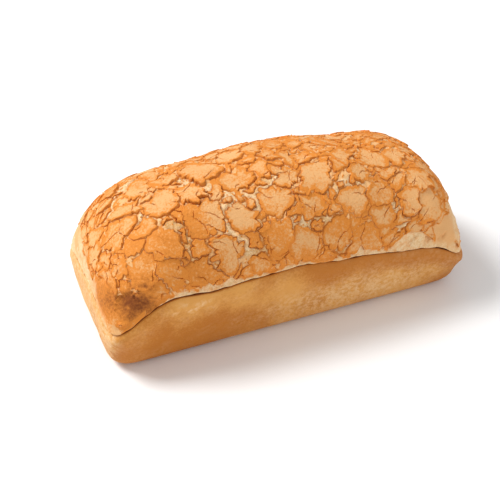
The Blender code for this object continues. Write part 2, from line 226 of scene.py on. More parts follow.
# %% [markdown]
# ## Where the plates lie
# The paste breaks where the dough pulls it, into plates of very different sizes. A plain Voronoi
# pattern has cells that are all alike. Here each plate is a disc of its own radius, the largest
# ones stand where the real loaf has them, and smaller and smaller ones are thrown between them.
# The cracks then run where two discs would meet if they grew at the same pace. LARGEST_PLATES
# gives s, t and the radius of each in millimetres.

# %% Sizes of the plates
PLATE_SEED = 14
PLATE_SIZES = ((0.0135, 250), (0.0112, 500), (0.0092, 900), (0.0074, 1500), (0.0058, 2500))
FRAGMENT_SIZES = ((0.0040, 5000), (0.0029, 6000))
PLATE_CROWDING = 0.84
SMALLER_FAR_SIDE = 0.50
LARGEST_PLATES = (
    (-115, -17, 12.5), (-114, -58, 11.5), (-104, -4, 11.0), (-94, -48, 12.0), (-91, 11, 11.0),
    (-83, -15, 12.0), (-79, -71, 11.5), (-61, -37, 14.0), (-51, 3, 13.5), (-37, -42, 10.5),
    (-31, -13, 11.5), (-17, -60, 11.0), (-12, -36, 12.0), (1, -21, 10.5), (11, -46, 9.0),
    (41, -47, 11.5), (64, -41, 11.5), (65, -59, 9.5), (88, -52, 9.0), (106, -59, 12.0),
)


def plate_size_factor(points):
    """Plates are smaller on the far side and on the ends, most of all towards the far right."""
    far = soft_step(-0.016, 0.028, points[..., 1] + 0.030 * soft_step(-0.03, 0.05, points[..., 0]))
    end = 0.5 * soft_step(0.105, 0.130, np.abs(points[..., 0]))
    return 1.0 - (1.0 - SMALLER_FAR_SIDE) * np.maximum(far, end)


print(len(LARGEST_PLATES), "plates are placed by hand")


# %% Throw the plates
def plate_layout():
    """Where each plate's centre is on the sheet and on the dome, and its radius."""
    rng = np.random.default_rng(PLATE_SEED)
    largest = np.array(LARGEST_PLATES) * MM
    sheet = largest[:, :2]
    centres = on_dome(sheet)
    radii = largest[:, 2]
    for size, throws in PLATE_SIZES + FRAGMENT_SIZES:
        throw = rng.uniform(-1.0, 1.0, (throws, 2)) * SHEET
        spots = on_dome(throw)
        sizes = size * plate_size_factor(spots) * rng.uniform(0.85, 1.15, throws)
        for place, spot, radius in zip(throw, spots, sizes):
            clearance = np.linalg.norm(centres - spot, axis=1) - PLATE_CROWDING * (radii + radius)
            if clearance.min() > 0.0:
                sheet = np.vstack([sheet, place])
                centres = np.vstack([centres, spot])
                radii = np.append(radii, radius)
    return sheet, centres, radii


PLATE_PLACE, PLATE_CENTRE, PLATE_RADIUS = plate_layout()
PLATES = len(PLATE_RADIUS)
print(PLATES, "plates, radius", (PLATE_RADIUS.min() / MM).round(1), "to", (PLATE_RADIUS.max() / MM).round(1))

# %% [markdown]
# ## How far the plates are pulled apart
# A crack's width tells how much the dough stretched there. Most cracks are hairlines, some of
# them only half through the paste. Over the near shoulder the dough stretched most, and a few long
# splits opened so far that cream-coloured crumb shows. WIDE_SPLITS names them one by one, with
# both ends and half the extra width in millimetres. The rest of the cracks get their width from a
# random draw for each pair of neighbours.

# %% Measures of the cracks
HAIRLINE = 0.00016
LOOSE_GAP = 0.00075
CRUST_THICKNESS = 0.0012
THICKER_SHOULDER = 0.0006
PLATE_LIFT = 0.0004
TILT_SPREAD = 0.036
TILT_LEAN = (0.018, -0.035)
EDGE_WAVER = 0.0018
SPLIT_REACH = 0.0040
WIDE_SPLITS = (
    (-100, -17, -86, -29, 1.1), (-86, -29, -78, -40, 1.4), (-78, -40, -79, -57, 1.5), (-77, 22, -66, 0, 0.9),
    (-66, 0, -44, -21, 1.1), (-44, -21, -27, -36, 1.3), (-43, -30, -51, -55, 1.2), (-51, -55, -32, -68, 1.5),
    (-28, -30, -2, -18, 1.1), (32, -37, 48, -35, 1.1), (-8, -54, 27, -56, 1.4), (79, -41, 76, -58, 0.9),
    (31, -77, 66, -83, 1.3), (-116, 8, -96, 26, 0.8), (-20, -64, -14, -57, 0.7), (85, -60, 88, -76, 0.7),
)
print("the widest splits are", 2.0 * max(split[-1] for split in WIDE_SPLITS), "mm wider than other cracks")

# %% Draws for each plate and each pair of plates
plate_rng = np.random.default_rng(PLATE_SEED + 1)
OPENNESS = plate_rng.uniform(0.2, 1.0, PLATES)
THICKNESS = CRUST_THICKNESS + PLATE_LIFT * plate_rng.uniform(-1.0, 1.0, PLATES)
THICKNESS += THICKER_SHOULDER * patch(PLATE_CENTRE, (-0.070, -0.030, 0.090), (0.060, 0.030, 0.030))
PLATE_TONE = plate_rng.uniform(0.0, 1.0, PLATES)
TILT = plate_rng.normal(0.0, TILT_SPREAD, (PLATES, 2)) + TILT_LEAN
PAIR_PULL = plate_rng.uniform(0.0, 1.0, (PLATES, PLATES))
PAIR_PULL = np.maximum(PAIR_PULL, PAIR_PULL.T)
print("the paste is", (THICKNESS.min() / MM).round(1), "to", (THICKNESS.max() / MM).round(1), "mm thick")


# %% Stretch and named splits
def stretch(points):
    """How far the rising dough has pulled the plates apart: most along the near shoulder."""
    near = patch(points, (-0.045, -0.030, 0.095), (0.075, 0.028, 0.030))
    middle = patch(points, (0.030, -0.015, 0.105), (0.060, 0.022, 0.030))
    return np.clip(near + 0.7 * middle, 0.0, 1.0)


def split_line(start_s, start_t, end_s, end_t):
    """The two ends of a split on the dome."""
    return on_dome(np.array([(start_s, start_t), (end_s, end_t)]) * MM)


def near_line(points, start, end, reach):
    """1 on a straight line between two ends, fading to 0 over the reach."""
    run = end - start
    share = np.clip(((points - start) @ run) / (run @ run), 0.0, 1.0)
    away = np.linalg.norm(points - start - share[..., None] * run, axis=-1)
    return np.exp(-((away / reach) ** 2))


SPLIT_LINES = [(*split_line(*split[:4]), split[4] * MM) for split in WIDE_SPLITS]
print(len(SPLIT_LINES), "named splits")


def wide_split(points):
    """Half the extra width that the named splits give to a crack near them."""
    widest = np.zeros(points.shape[:-1])
    for start, end, width in SPLIT_LINES:
        widest = np.maximum(widest, width * near_line(points, start, end, SPLIT_REACH))
    return widest


# %% Width, depth and waver of a crack
def half_gap(points, own, other, extra):
    """Half the width of the crack between a plate and its neighbour."""
    pull = soft_step(0.45, 1.0, PAIR_PULL[own, other])
    return HAIRLINE * (0.7 + pull) + LOOSE_GAP * (0.25 + stretch(points)) * OPENNESS[own] * pull + extra


def crack_depth(points, own, other, gap):
    """How much of the paste's thickness the crack goes through, from 0 to 1."""
    torn = PAIR_PULL[own, other] + 0.28 * ripple(points, 0.011, 45) + gap / 0.0012
    return 0.06 + 0.94 * soft_step(0.45, 1.15, torn) * (0.55 + 0.45 * soft_step(0.0001, 0.0008, gap))


def wavered(points):
    """Points shifted a little, so that the cracks between the plates run unevenly."""
    shift = np.stack([ripple(points, 0.021, seed) for seed in (21, 22, 23)], axis=-1)
    jags = np.stack([ripple(points, 0.008, seed) for seed in (31, 32, 33)], axis=-1)
    nicks = np.stack([ripple(points, 0.0032, seed) for seed in (41, 42, 43)], axis=-1)
    return points + EDGE_WAVER * (0.75 * shift + 0.50 * jags + 0.26 * nicks)


shifts = np.linalg.norm(wavered(PLATE_CENTRE) - PLATE_CENTRE, axis=1)
print("the cracks waver by", (shifts.mean() / MM).round(1), "mm, at most", (shifts.max() / MM).round(1))

# %% [markdown]
# ## Bare dough
# Along the fold, at the left corner and at the right end the paste is missing, and dough shows:
# pale where it tore late, orange where it browned. Both are painted with soft patches here. The
# plates read them for their shape, and the materials read them for their colour. A mask in an
# image would need an unwrapped mesh, but a patch is a few numbers in the loaf's own measures. The
# dough at the right end is puffed, and the creases between its puffs are drawn as short lines.

# %% Strip and creases
FOLD_STRIP = (
    (-130, 0.5), (-98, 0.7), (-91, 3.0), (-84, 5.4), (-70, 6.0), (-58, 4.8), (-44, 5.2), (-30, 3.8),
    (-20, 2.2), (-8, 2.8), (4, 2.4), (12, 0.8), (22, 1.0), (30, 4.4), (46, 6.2), (62, 5.0),
    (78, 6.0), (90, 6.5), (106, 6.0), (130, 5.0),
)
LEFT_STRIP, RIGHT_STRIP, FAR_STRIP = 0.009, 0.006, 0.005
END_CREASES = (((101, 66), (97, 58)), ((97, 58), (92, 50)), ((101, 49), (110, 53)), ((81, 53), (86, 57)))
CREASE_REACH = 0.0011
print("bare strip over the fold: up to", max(width for _, width in FOLD_STRIP), "mm")


def above_fold(points):
    """Height above the fold."""
    return points[..., 2] - fold_height(points[..., 0], points[..., 1])


# %% Where the dome is smooth
def corner_zone(points):
    """1 at the left near corner, where the paste is smooth and dark."""
    edge = patch(points, (-0.129, -0.040, 0.055), (0.0090, 0.024, 0.016))
    return np.maximum(edge, patch(points, (-0.115, -0.056, 0.055), (0.017, 0.014, 0.0095)))


def right_zone(points):
    """1 at the right end, where the paste ran thin and smooth."""
    edge = patch(points, (0.125, -0.045, 0.055), (0.010, 0.022, 0.022))
    return np.maximum(edge, patch(points, (0.113, -0.055, 0.054), (0.016, 0.014, 0.015)))


def left_band(points):
    """1 in the pale band over the fold at the left end, which climbs towards the far side."""
    level = points - points[..., 1:2] * (0.0, 0.0, 0.27)
    return patch(level, (-0.130, 0.000, 0.0545), (0.0070, 0.040, 0.0068))


def left_dough(points):
    """1 on the smooth dough under the pale band, down to the fold."""
    level = points[..., 2] - 0.27 * points[..., 1]
    return (1.0 - soft_step(0.053, 0.061, level)) * (1.0 - soft_step(-0.125, -0.117, points[..., 0]))


def smooth_zone(points):
    """1 where the dome is smooth and has no plates."""
    zone = np.maximum(np.maximum(corner_zone(points), right_zone(points)), left_band(points))
    return soft_step(0.25, 0.75, np.maximum(zone, left_dough(points)) + 0.11 * ripple(points, 0.012, 7))


def bare_patch(points):
    """1 on the cream dough by the right end of the near side, where a plate came off."""
    return patch(points, (0.084, -0.058, 0.051), (0.0135, 0.012, 0.0135)) + 0.06 * ripple(points, 0.010, 8)


print((smooth_zone(PLATE_CENTRE) > 0.5).sum(), "plate centres are in the smooth zones")


# %% Shape of the strip and the creases
def end_crease(points):
    """1 in the creases between the puffs of bare dough at the right end of the near side."""
    waver = np.stack([ripple(points, 0.007, seed) for seed in (58, 59)], axis=-1)
    seen = points[..., (0, 2)] + 0.0007 * waver
    deepest = np.zeros(points.shape[:-1])
    for start, end in np.array(END_CREASES) * MM:
        deepest = np.maximum(deepest, near_line(seen, start, end, CREASE_REACH))
    return deepest * (points[..., 1] < -0.045)


def strip_width(points):
    """Height of the strip of bare dough over the fold."""
    places, widths = np.array(FOLD_STRIP).T * MM
    front = np.interp(points[..., 0], places, widths)
    end_width = np.where(points[..., 0] < 0.0, LEFT_STRIP, RIGHT_STRIP)
    end = soft_step(0.115, 0.128, np.abs(points[..., 0])) * soft_step(-0.050, -0.030, points[..., 1])
    far = soft_step(-0.02, 0.02, points[..., 1])
    flat = points * (1.0, 1.0, 0.0)
    width = front * (1.0 - far) + FAR_STRIP * far
    width = width * (1.0 - end) + end_width * end
    return width * (1.0 + 0.24 * ripple(flat, 0.016, 5) + 0.28 * ripple(flat, 0.0055, 6))


print("with its waver the strip is up to", (strip_width(PLATE_CENTRE).max() / MM).round(1), "mm high")


# %% Cover and relief
def cover(points):
    """How far inside the paste's own outline a point lies, in metres: below 0 the dough is bare."""
    strip = above_fold(points) - strip_width(points)
    zone = (0.5 - smooth_zone(points)) * 0.02
    cream = (0.42 - bare_patch(points)) * 0.02
    return np.minimum(np.minimum(strip, zone), cream)


def relief_fade(points):
    """1 where plates stand proud, less where they run into the fold, 0 in the smooth zones."""
    low = 1.0 - soft_step(0.0035, 0.0085, above_fold(points))
    narrow = 1.0 - soft_step(0.0025, 0.0040, strip_width(points))
    return (1.0 - 0.75 * low * narrow) * (1.0 - soft_step(0.02, 0.45, smooth_zone(points)))


print((cover(PLATE_CENTRE) > 0.0).sum(), "plate centres are under the paste")

# %% [markdown]
# ## Outlines of the plates
# A plate's outline is found by walking over the dome from its centre, along many rays, to the
# first step that comes too near a crack. A fine grid could be coloured instead, but its steps
# would show as stairs at each edge. The rays give crisp edges whatever way a crack runs. Random
# crumbling and a few nicks roughen each edge, and the paste curls up a little towards it.

# %% Measures of the outlines
RIM_SPACING = 0.00080
RAY_STEPS = 44
RAY_REACH = 2.4
NEIGHBOURS = 14
CRUMBLE = 0.00020
NICK_SPACING = 0.0035
CROWN_RUN = 0.00065
SLOPE_RUN = 0.0009
EDGE_CURL = 0.00034
LEAST_ROOM = 0.0007
LEAST_REACH = 0.0004
LEAST_THICKNESS = 0.0006
HEART_LIMIT, RIM_LIMIT = 0.985, 0.992
BARE_EDGE_DEPTH = 0.9
print("a ray has", RAY_STEPS, "steps and is", RAY_REACH, "times as long as the plate's radius")


# %% Room inside a plate
def room_in_plate(points, number, others):
    """How far each point lies inside the plate's edge, the neighbour there, and half the gap to it."""
    shifted = wavered(points)
    extra = wide_split(points)
    own = ((shifted - PLATE_CENTRE[number]) ** 2).sum(axis=-1) - PLATE_RADIUS[number] ** 2
    room = cover(points)
    beside = np.full(len(points), number)
    gaps = np.zeros(len(points))
    for other in others:
        span = np.linalg.norm(PLATE_CENTRE[number] - PLATE_CENTRE[other])
        reach = ((shifted - PLATE_CENTRE[other]) ** 2).sum(axis=-1) - PLATE_RADIUS[other] ** 2
        gap = half_gap(points, number, other, extra)
        left = (reach - own) / (2.0 * span) - gap
        nearer = left < room
        room = np.where(nearer, left, room)
        beside = np.where(nearer, other, beside)
        gaps = np.where(nearer, gap, gaps)
    return room, beside, gaps


def neighbours(number):
    """The plates nearest to a plate, apart from itself."""
    spans = np.linalg.norm(PLATE_CENTRE - PLATE_CENTRE[number], axis=1) - PLATE_RADIUS
    return [other for other in np.argsort(spans)[:NEIGHBOURS + 1] if other != number]


def plate_heart(number, others):
    """The place on the sheet with the most room round it, from which the rays start."""
    tries = [PLATE_PLACE[number]]
    for share in (0.3, 0.6, 0.9):
        turns = np.linspace(0.0, 2.0 * math.pi, 10, endpoint=False) + share
        ring = np.stack([np.cos(turns), np.sin(turns)], axis=1) * share * PLATE_RADIUS[number]
        tries.extend(PLATE_PLACE[number] + ring)
    tries = np.array(tries)
    room = room_in_plate(on_dome(tries), number, others)[0]
    room = np.where(np.abs(tries / SHEET).max(axis=1) > HEART_LIMIT, -1.0, room)
    return tries[room.argmax()], room.max()


def first_below_zero(values):
    """Along each row, after how many steps, with a fraction, the values cross zero, and the step below."""
    below = values < 0.0
    step = np.where(below.any(axis=1), below.argmax(axis=1), values.shape[1] - 1)
    step = np.maximum(step, 1)
    rows = np.arange(len(values))
    before, after = values[rows, step - 1], values[rows, step]
    return step - 1 + np.clip(before / np.maximum(before - after, 1e-9), 0.0, 1.0), step


print("the first plate has", (plate_heart(0, neighbours(0))[1] / MM).round(1), "mm of room round its heart")


# %% Walk the rays of one plate
class Plate:
    """One plate's outline: rays from its heart, how far each runs, and the crack that it meets."""

    def __init__(self, number):
        self.number = number
        others = neighbours(number)
        self.heart, self.room = plate_heart(number, others)
        self.drawn = self.room > LEAST_ROOM
        count = max(8, round(2.0 * math.pi * 1.05 * PLATE_RADIUS[number] / RIM_SPACING))
        angle = np.linspace(0.0, 2.0 * math.pi, count, endpoint=False)
        self.way = np.stack([np.cos(angle), np.sin(angle)], axis=1)
        stride = RAY_REACH * PLATE_RADIUS[number] / RAY_STEPS
        places = self.heart + self.way[:, None, :] * (np.arange(RAY_STEPS) * stride)[None, :, None]
        points = on_dome(places)
        found = room_in_plate(points.reshape(-1, 3), number, others)
        room, beside, gaps = (values.reshape(count, RAY_STEPS) for values in found)
        room = np.where(np.abs(places / SHEET).max(axis=-1) > RIM_LIMIT, -0.001, room)
        steps, at = first_below_zero(room)
        rows = np.arange(count)
        rng = np.random.default_rng(number)
        self.reach = steps * stride + rng.uniform(-CRUMBLE, CRUMBLE, count)
        self.nicks = rng.integers(0, count, rng.poisson(PLATE_RADIUS[number] / NICK_SPACING))
        for nick in self.nicks:
            depth = rng.uniform(0.08, 0.30) * self.reach[nick]
            for step, share in ((-1, 0.3), (0, 1.0), (1, 0.3)):
                self.reach[(nick + step) % count] -= share * depth
        self.reach = np.maximum(self.reach, LEAST_REACH)
        self.gap = gaps[rows, at]
        bare = beside[rows, at] == number
        depth = crack_depth(points[rows, at], number, beside[rows, at], self.gap)
        self.depth = np.where(bare, BARE_EDGE_DEPTH, depth)
        share = np.minimum(1.0, self.reach / 0.0035)
        sloped = self.depth * soft_step(0.1, 1.0, ripple(points[rows, at], 0.014, 46))
        steep = CROWN_RUN * (0.40 + 0.60 * np.clip(self.gap / 0.0010, 0.0, 1.0))
        self.crown = share * (steep + SLOPE_RUN * sloped)

    def at_turn(self, places, values):
        """What the rays' values are in the direction of each place."""
        offset = places - self.heart
        turn = np.arctan2(offset[..., 1], offset[..., 0]) % (2.0 * math.pi)
        angles = np.linspace(0.0, 2.0 * math.pi, len(values) + 1)
        return np.interp(turn, angles, np.append(values, values[0]))

    def inner(self, places):
        """How far inside the plate's edge each place lies, along its ray."""
        return self.at_turn(places, self.reach) - np.linalg.norm(places - self.heart, axis=-1)

    def top(self, places, inner):
        """Height of the plate's upper face over the dough, inner metres in from its edge."""
        lean = ((places - self.heart) * TILT[self.number]).sum(axis=-1)
        curl = EDGE_CURL * np.exp(-inner / 0.0016) * min(1.0, PLATE_RADIUS[self.number] / 0.009)
        return np.maximum(THICKNESS[self.number] + lean + curl, LEAST_THICKNESS)


print("the first plate has", len(Plate(0).reach), "rays")


# %% Walk the rays of every plate
PLATE_SHAPES = [Plate(number) for number in range(PLATES)]
print(sum(plate.drawn for plate in PLATE_SHAPES), "plates have room,",
      sum(len(plate.reach) for plate in PLATE_SHAPES), "points on their rims")

# %% [markdown]
# ## Drawing the cracked sheet
# Each plate gets three rims: the foot of its edge on the dough, a bevel, and the crown of its
# edge. Short fissures start at some of the nicks or inside the larger plates. A lattice fills what
# is left, and a few of its points in the splits are raised as crumbs. A Delaunay triangulation that
# keeps the drawn lines then joins all the points. A grid with a displace modifier would be less
# work, but it rounds off every broken edge.

# %% A drawing that collects points
BEVEL_SHARE = 0.32
LATTICE_SPACING = 0.00125
RIM_CLEARANCE = 0.42 * LATTICE_SPACING
FOOT_CLEARANCE = 0.46 * LATTICE_SPACING
FISSURE_CLEARANCE = 0.7 * LATTICE_SPACING
BORDER_SPACING = 0.0013
BORDER_INNER = 0.0012
MIDDLE_TONE = 0.5
FISSURE_STEP = 0.0008
FISSURE_FLANK = 0.00048
FISSURE_DEPTH = 0.0009
CRUMB_SHARE = 0.12
CRUMB_HEIGHTS = (0.0003, 0.0009)
SMALLEST_FISSURED = 0.0040


class Drawing:
    """Points on the sheet, the lines that must stay, and what each point is."""

    # edge is the share of broken-edge brown; at the foot of narrow cracks, in creases and along the fold it
    # is painted shade
    FIELDS = ("height", "crust", "edge", "inner", "tone", "gap")

    def __init__(self):
        self.places = []
        self.lines = []
        self.fields = {name: [] for name in self.FIELDS}
        self.count = 0

    def add(self, places, **fields):
        """Adds points, and returns the number of the first."""
        first = self.count
        self.places.append(places)
        self.count += len(places)
        for name in self.FIELDS:
            self.fields[name].append(np.broadcast_to(np.asarray(fields.get(name, 0.0), float), len(places)))
        return first

    def join(self, first, count, closed):
        """Joins points that were added one after another by lines."""
        last = count if closed else count - 1
        self.lines.extend((first + i, first + (i + 1) % count) for i in range(last))

    def gather(self):
        """All points and their fields as arrays."""
        return np.concatenate(self.places), {name: np.concatenate(self.fields[name]) for name in self.FIELDS}


print("each point carries", Drawing.FIELDS)


# %% Draw the rims of a plate
def draw_rims(drawing, plate):
    """The three rims of one plate."""
    points = on_dome(plate.heart + plate.way * plate.reach[:, None])
    fade = relief_fade(points)
    gap = np.clip(plate.gap / 0.0010, 0.0, 1.0)
    # At the foot the broken-edge brown is stronger where the crack is narrow: painted shade in narrow cracks
    rims = ((0.0, 1.0, 0.8 - 0.35 * gap), (BEVEL_SHARE, 0.36, 0.85), (1.0, 0.0, 0.1))
    for share, drop, edge in rims:
        inner = share * plate.crown
        places = plate.heart + plate.way * (plate.reach - inner)[:, None]
        height = plate.top(places, inner) * (1.0 - drop * plate.depth) * fade
        crust = 1.0 - plate.depth * fade * (share == 0.0)
        first = drawing.add(places, height=height, crust=crust, edge=edge * plate.depth * fade, inner=inner,
                            tone=PLATE_TONE[plate.number], gap=gap)
        drawing.join(first, len(places), closed=True)


trial = Drawing()
draw_rims(trial, PLATE_SHAPES[0])
print("the first plate's rims have", trial.count, "points")


# %% Draw a fissure
def draw_fissure(drawing, plate, rng, nick=None):
    """One short fissure that wanders over a plate, from a nick in its edge or from inside."""
    radius = PLATE_RADIUS[plate.number]
    steps = int(rng.uniform(0.4, 1.2) * radius / FISSURE_STEP)
    heading = rng.uniform(0.0, 2.0 * math.pi)
    start = plate.heart + rng.normal(0.0, 0.45, 2) * radius
    if nick is not None:
        start = plate.heart + plate.way[nick] * (plate.reach[nick] - plate.crown[nick] - 0.0004)
        heading = math.atan2(-plate.way[nick][1], -plate.way[nick][0]) + rng.normal(0.0, 0.5)
    heading = heading + np.linspace(0.0, rng.normal(0.0, 0.7), steps) + rng.normal(0.0, 0.38, steps)
    way = np.stack([np.cos(heading), np.sin(heading)], axis=1)
    line = start + np.cumsum(way * FISSURE_STEP, axis=0)
    inner = plate.inner(line)
    outside = np.flatnonzero(inner < plate.at_turn(line, plate.crown) + 0.0003)
    end = outside[0] if len(outside) else steps
    line, way, inner = line[:end], way[:end], inner[:end]
    if end < 4:
        return
    swell = np.sin(np.linspace(0.12 if nick is None else 1.2, math.pi - 0.12, steps)[:end]) ** 0.6
    fade = relief_fade(on_dome(line))
    side = np.stack([-way[:, 1], way[:, 0]], axis=1)
    top = plate.top(line, inner)
    for shift, drop, edge in ((1.0, 0.0, 0.0), (0.0, FISSURE_DEPTH, 1.0), (-1.0, 0.0, 0.0)):
        places = line + side * (shift * FISSURE_FLANK * (0.45 + 0.75 * swell))[:, None]
        height = np.maximum(top - drop * swell, 0.0) * fade
        first = drawing.add(places, height=height, edge=0.7 * edge * swell * fade, crust=1.0, inner=inner,
                            tone=PLATE_TONE[plate.number])
        drawing.join(first, len(places), closed=False)


trial = Drawing()
for seed in range(10):
    draw_fissure(trial, PLATE_SHAPES[0], np.random.default_rng(seed))
print("ten tries at a fissure on the first plate make", trial.count, "points")


# %% Draw the border
def outline_shares(half_sizes, spacing):
    """Places round an outline, in order, as shares from -1 to 1 of its length and width."""
    along, across = np.round(2.0 * np.array(half_sizes) / spacing).astype(int)
    s = np.linspace(-1.0, 1.0, along + 1)[:-1]
    t = np.linspace(-1.0, 1.0, across + 1)[:-1]
    one_s, one_t = np.ones_like(s), np.ones_like(t)
    return np.concatenate([
        np.stack([s, -one_s], axis=1), np.stack([one_t, t], axis=1),
        np.stack([-s, one_s], axis=1), np.stack([-one_t, -t], axis=1),
    ])


def draw_border(drawing):
    """Points round the sheet's border, in order. Returns the first and how many."""
    places = outline_shares(SHEET, BORDER_SPACING) * SHEET
    first = drawing.add(places, crust=cover(on_dome(places)) > 0.0, inner=BORDER_INNER, tone=MIDDLE_TONE)
    drawing.join(first, len(places), closed=True)
    return first, len(places)


print("the border has", draw_border(Drawing())[1], "points")


# %% Fill the sheet with a lattice
def lattice():
    """An even lattice of places in rows that are shifted by half a step."""
    step = LATTICE_SPACING
    s = np.arange(-SHEET[0] + 0.8 * step, SHEET[0] - 0.8 * step, step)
    t = np.arange(-SHEET[1] + 0.8 * step, SHEET[1] - 0.8 * step, step * math.sqrt(0.75))
    s, t = np.meshgrid(s, t, indexing="ij")
    s = s + 0.5 * step * (np.arange(s.shape[1]) % 2)
    places = np.stack([s.ravel(), t.ravel()], axis=1)
    return places[places[:, 0] < SHEET[0] - 0.7 * step]


def place_tree(places):
    """A search tree that finds the nearest of some flat places."""
    tree = kdtree.KDTree(len(places))
    for index, place in enumerate(places):
        tree.insert((*place, 0.0), index)
    tree.balance()
    return tree


print("the lattice has", len(lattice()), "places")


# %% Relief of the bare dough
def owners(points):
    """The plate that each point belongs to, whether or not the paste covers it."""
    shifted = wavered(points)
    cross = shifted @ PLATE_CENTRE.T
    reach = (PLATE_CENTRE**2).sum(axis=1) - PLATE_RADIUS**2 - 2.0 * cross
    return reach.argmin(axis=1)


def dough_relief(points, split):
    """Unevenness of bare dough: torn strands at the fold, crumb in the splits, puffs at the right end."""
    low = 1.0 - soft_step(0.002, 0.009, above_fold(points))
    strands = np.maximum(ripple(points * (0.16, 0.5, 1.0), 0.0026, 51), -0.8)
    torn = low * soft_step(-0.2, 0.6, ripple(points, 0.030, 52))
    crumb = np.abs(ripple(points, 0.0034, 53)) * soft_step(0.0, 0.4, split)
    gentle = 0.00012 * ripple(points, 0.011, 54)
    end = soft_step(0.078, 0.098, points[..., 0]) * (1.0 - soft_step(0.012, 0.022, above_fold(points)))
    puffs = end * 0.00045 * ripple(points, 0.0095, 57) - 0.0013 * end_crease(points)
    return gentle + 0.00042 * strands * torn + 0.00042 * crumb + puffs


relief = dough_relief(PLATE_CENTRE, np.zeros(PLATES)) / MM
print("without crumb the bare dough's relief is", relief.min().round(1), "to", relief.max().round(1), "mm")


# %% Draw the lattice
def draw_lattice(drawing, fissures):
    """Lattice points inside plates and on bare dough, clear of every rim and fissure."""
    places = lattice()
    points = on_dome(places)
    own = owners(points)
    inner = np.full(len(places), -1.0)
    top = np.zeros(len(places))
    crown = np.zeros(len(places))
    for plate in PLATE_SHAPES:
        here = own == plate.number
        if plate.drawn:
            inner[here] = plate.inner(places[here])
            crown[here] = plate.at_turn(places[here], plate.crown)
            top[here] = plate.top(places[here], np.maximum(inner[here], 0.0))
    fade = relief_fade(points)
    zone = smooth_zone(points)
    on_plate = inner > crown + RIM_CLEARANCE
    on_dough = inner < -FOOT_CLEARANCE
    tree = place_tree(fissures)
    near = np.array([tree.find((*place, 0.0))[2] for place in places])
    on_plate &= near > FISSURE_CLEARANCE
    height = np.where(on_plate, top * fade, 0.0)
    split = np.clip(-inner / 0.0022, 0.0, 1.0) * (cover(points) > 0.0)
    height = height + np.where(on_dough, 0.0006 * split + dough_relief(points, split), 0.0)
    crust = np.where(on_plate, 1.0, soft_step(0.0, 0.2, zone))
    keep = on_plate | on_dough
    smooth = soft_step(0.2, 0.8, zone)
    shown = np.clip(inner, -0.003, 0.009) * (1.0 - smooth) + 0.006 * smooth
    clear = 1.0 - soft_step(0.0, 0.2, zone)
    open_wide = np.maximum(soft_step(0.2, 0.9, wide_split(points) / 0.0007), 0.35 * split)
    gap = np.where(on_dough, open_wide, 0.0) * clear
    rng = np.random.default_rng(PLATE_SEED + 2)
    crumbs = on_dough & (split * clear > 0.1) & (rng.uniform(0.0, 1.0, len(places)) < CRUMB_SHARE)
    height = height + crumbs * rng.uniform(*CRUMB_HEIGHTS, len(places))
    crust = np.where(crumbs, 1.0, crust)
    # The creases at the right end are painted dark with the broken-edge brown as painted shade
    edge = np.maximum(0.35 * crumbs, 0.5 * on_dough * end_crease(points))
    drawing.add(places[keep], height=height[keep], crust=crust[keep], edge=edge[keep], inner=shown[keep],
                tone=PLATE_TONE[own][keep], gap=gap[keep])


print("no lattice point is within", round(FISSURE_CLEARANCE / MM, 2), "mm of a fissure")


# %% Draw everything
drawing = Drawing()
border_first, border_count = draw_border(drawing)
for plate in PLATE_SHAPES:
    if plate.drawn:
        draw_rims(drawing, plate)
before_fissures = drawing.count
for plate in PLATE_SHAPES:
    fissure_rng = np.random.default_rng(1000 + plate.number)
    radius = PLATE_RADIUS[plate.number]
    if plate.drawn and radius > SMALLEST_FISSURED:
        for nick in plate.nicks[::4]:
            draw_fissure(drawing, plate, fissure_rng, nick)
        for _ in range(fissure_rng.poisson(radius / 0.0220)):
            draw_fissure(drawing, plate, fissure_rng)
fissure_places = np.concatenate(drawing.places)[before_fissures:]
draw_lattice(drawing, fissure_places)
places, fields = drawing.gather()
print(len(places), "points on the sheet,", len(fissure_places), "of them in fissures")

# %% [markdown]
# ## From the sheet to the dome
# The triangles are found on the flat sheet, and each corner is then set on the dome and lifted out
# along the dome's own direction. The border is rolled under, as risen dough rolls over the tin's
# rim, with a slightly torn edge. A fan of faces that nobody sees closes it, so that the piece is one
# closed body, and every face is turned to look out of it.

# %% The rolled edge
LIP = ((0.3, 2.3), (0.1, 1.6), (0.3, 1.0), (0.9, 0.65), (2.0, 0.5), (3.8, 0.55))
SHOWN_LIP_ROWS = 3
TORN_LIP = 0.00042


def side_point(p, q, inset, height_of):
    """A point on the loaf's outline, drawn in by its inset, at the height that height_of gives."""
    radius = CORNER_RADIUS - 0.3 * max(inset[0], 0.0)
    x, y = rounded_plan(p, q, HALF_LENGTH - inset[0], HALF_WIDTH - inset[1], radius)
    return np.stack([x, y, height_of(x, y)], axis=-1)


def roll_rows(shares):
    """Rows of points that roll the dome's border under, as far as into the fold, with a torn edge."""
    rows = []
    for inset, lift in np.array(LIP) * MM:
        row = side_point(shares[:, 0], shares[:, 1], (inset, inset),
                         lambda x, y, lift=lift: fold_height(x, y) + lift)
        flat = row * (1.0, 1.0, 0.0)
        torn = 0.6 * ripple(flat, 0.011, 55) + 0.4 * ripple(flat, 0.0042, 56)
        fade = soft_step(0.0, 0.6 * MM, lift) * (1.0 - 0.6 * soft_step(MM, 2.3 * MM, lift))
        row[:, 2] += TORN_LIP * torn * fade
        rows.append(row)
    return rows


print(len(LIP), "rows roll the border under, and", SHOWN_LIP_ROWS, "of them can be seen")


# %% Triangulate the sheet
def triangulated(places, lines):
    """The places joined into triangles, with the number of the first place at each corner."""
    flat = [Vector(place) for place in places / MM]
    corners, _, faces, sources, _, _ = delaunay_2d_cdt(flat, lines, [], 0, 1e-4)
    corners = np.array([corner[:] for corner in corners]) * MM
    tree = place_tree(flat)
    source = [found[0] if found else tree.find((*(corner / MM), 0.0))[1]
              for found, corner in zip(sources, corners)]
    return corners, np.array(faces), np.array(source)


square = np.array([(0.0, 0.0), (MM, 0.0), (MM, MM), (0.0, MM)])
print("a square becomes", len(triangulated(square, [])[1]), "triangles")


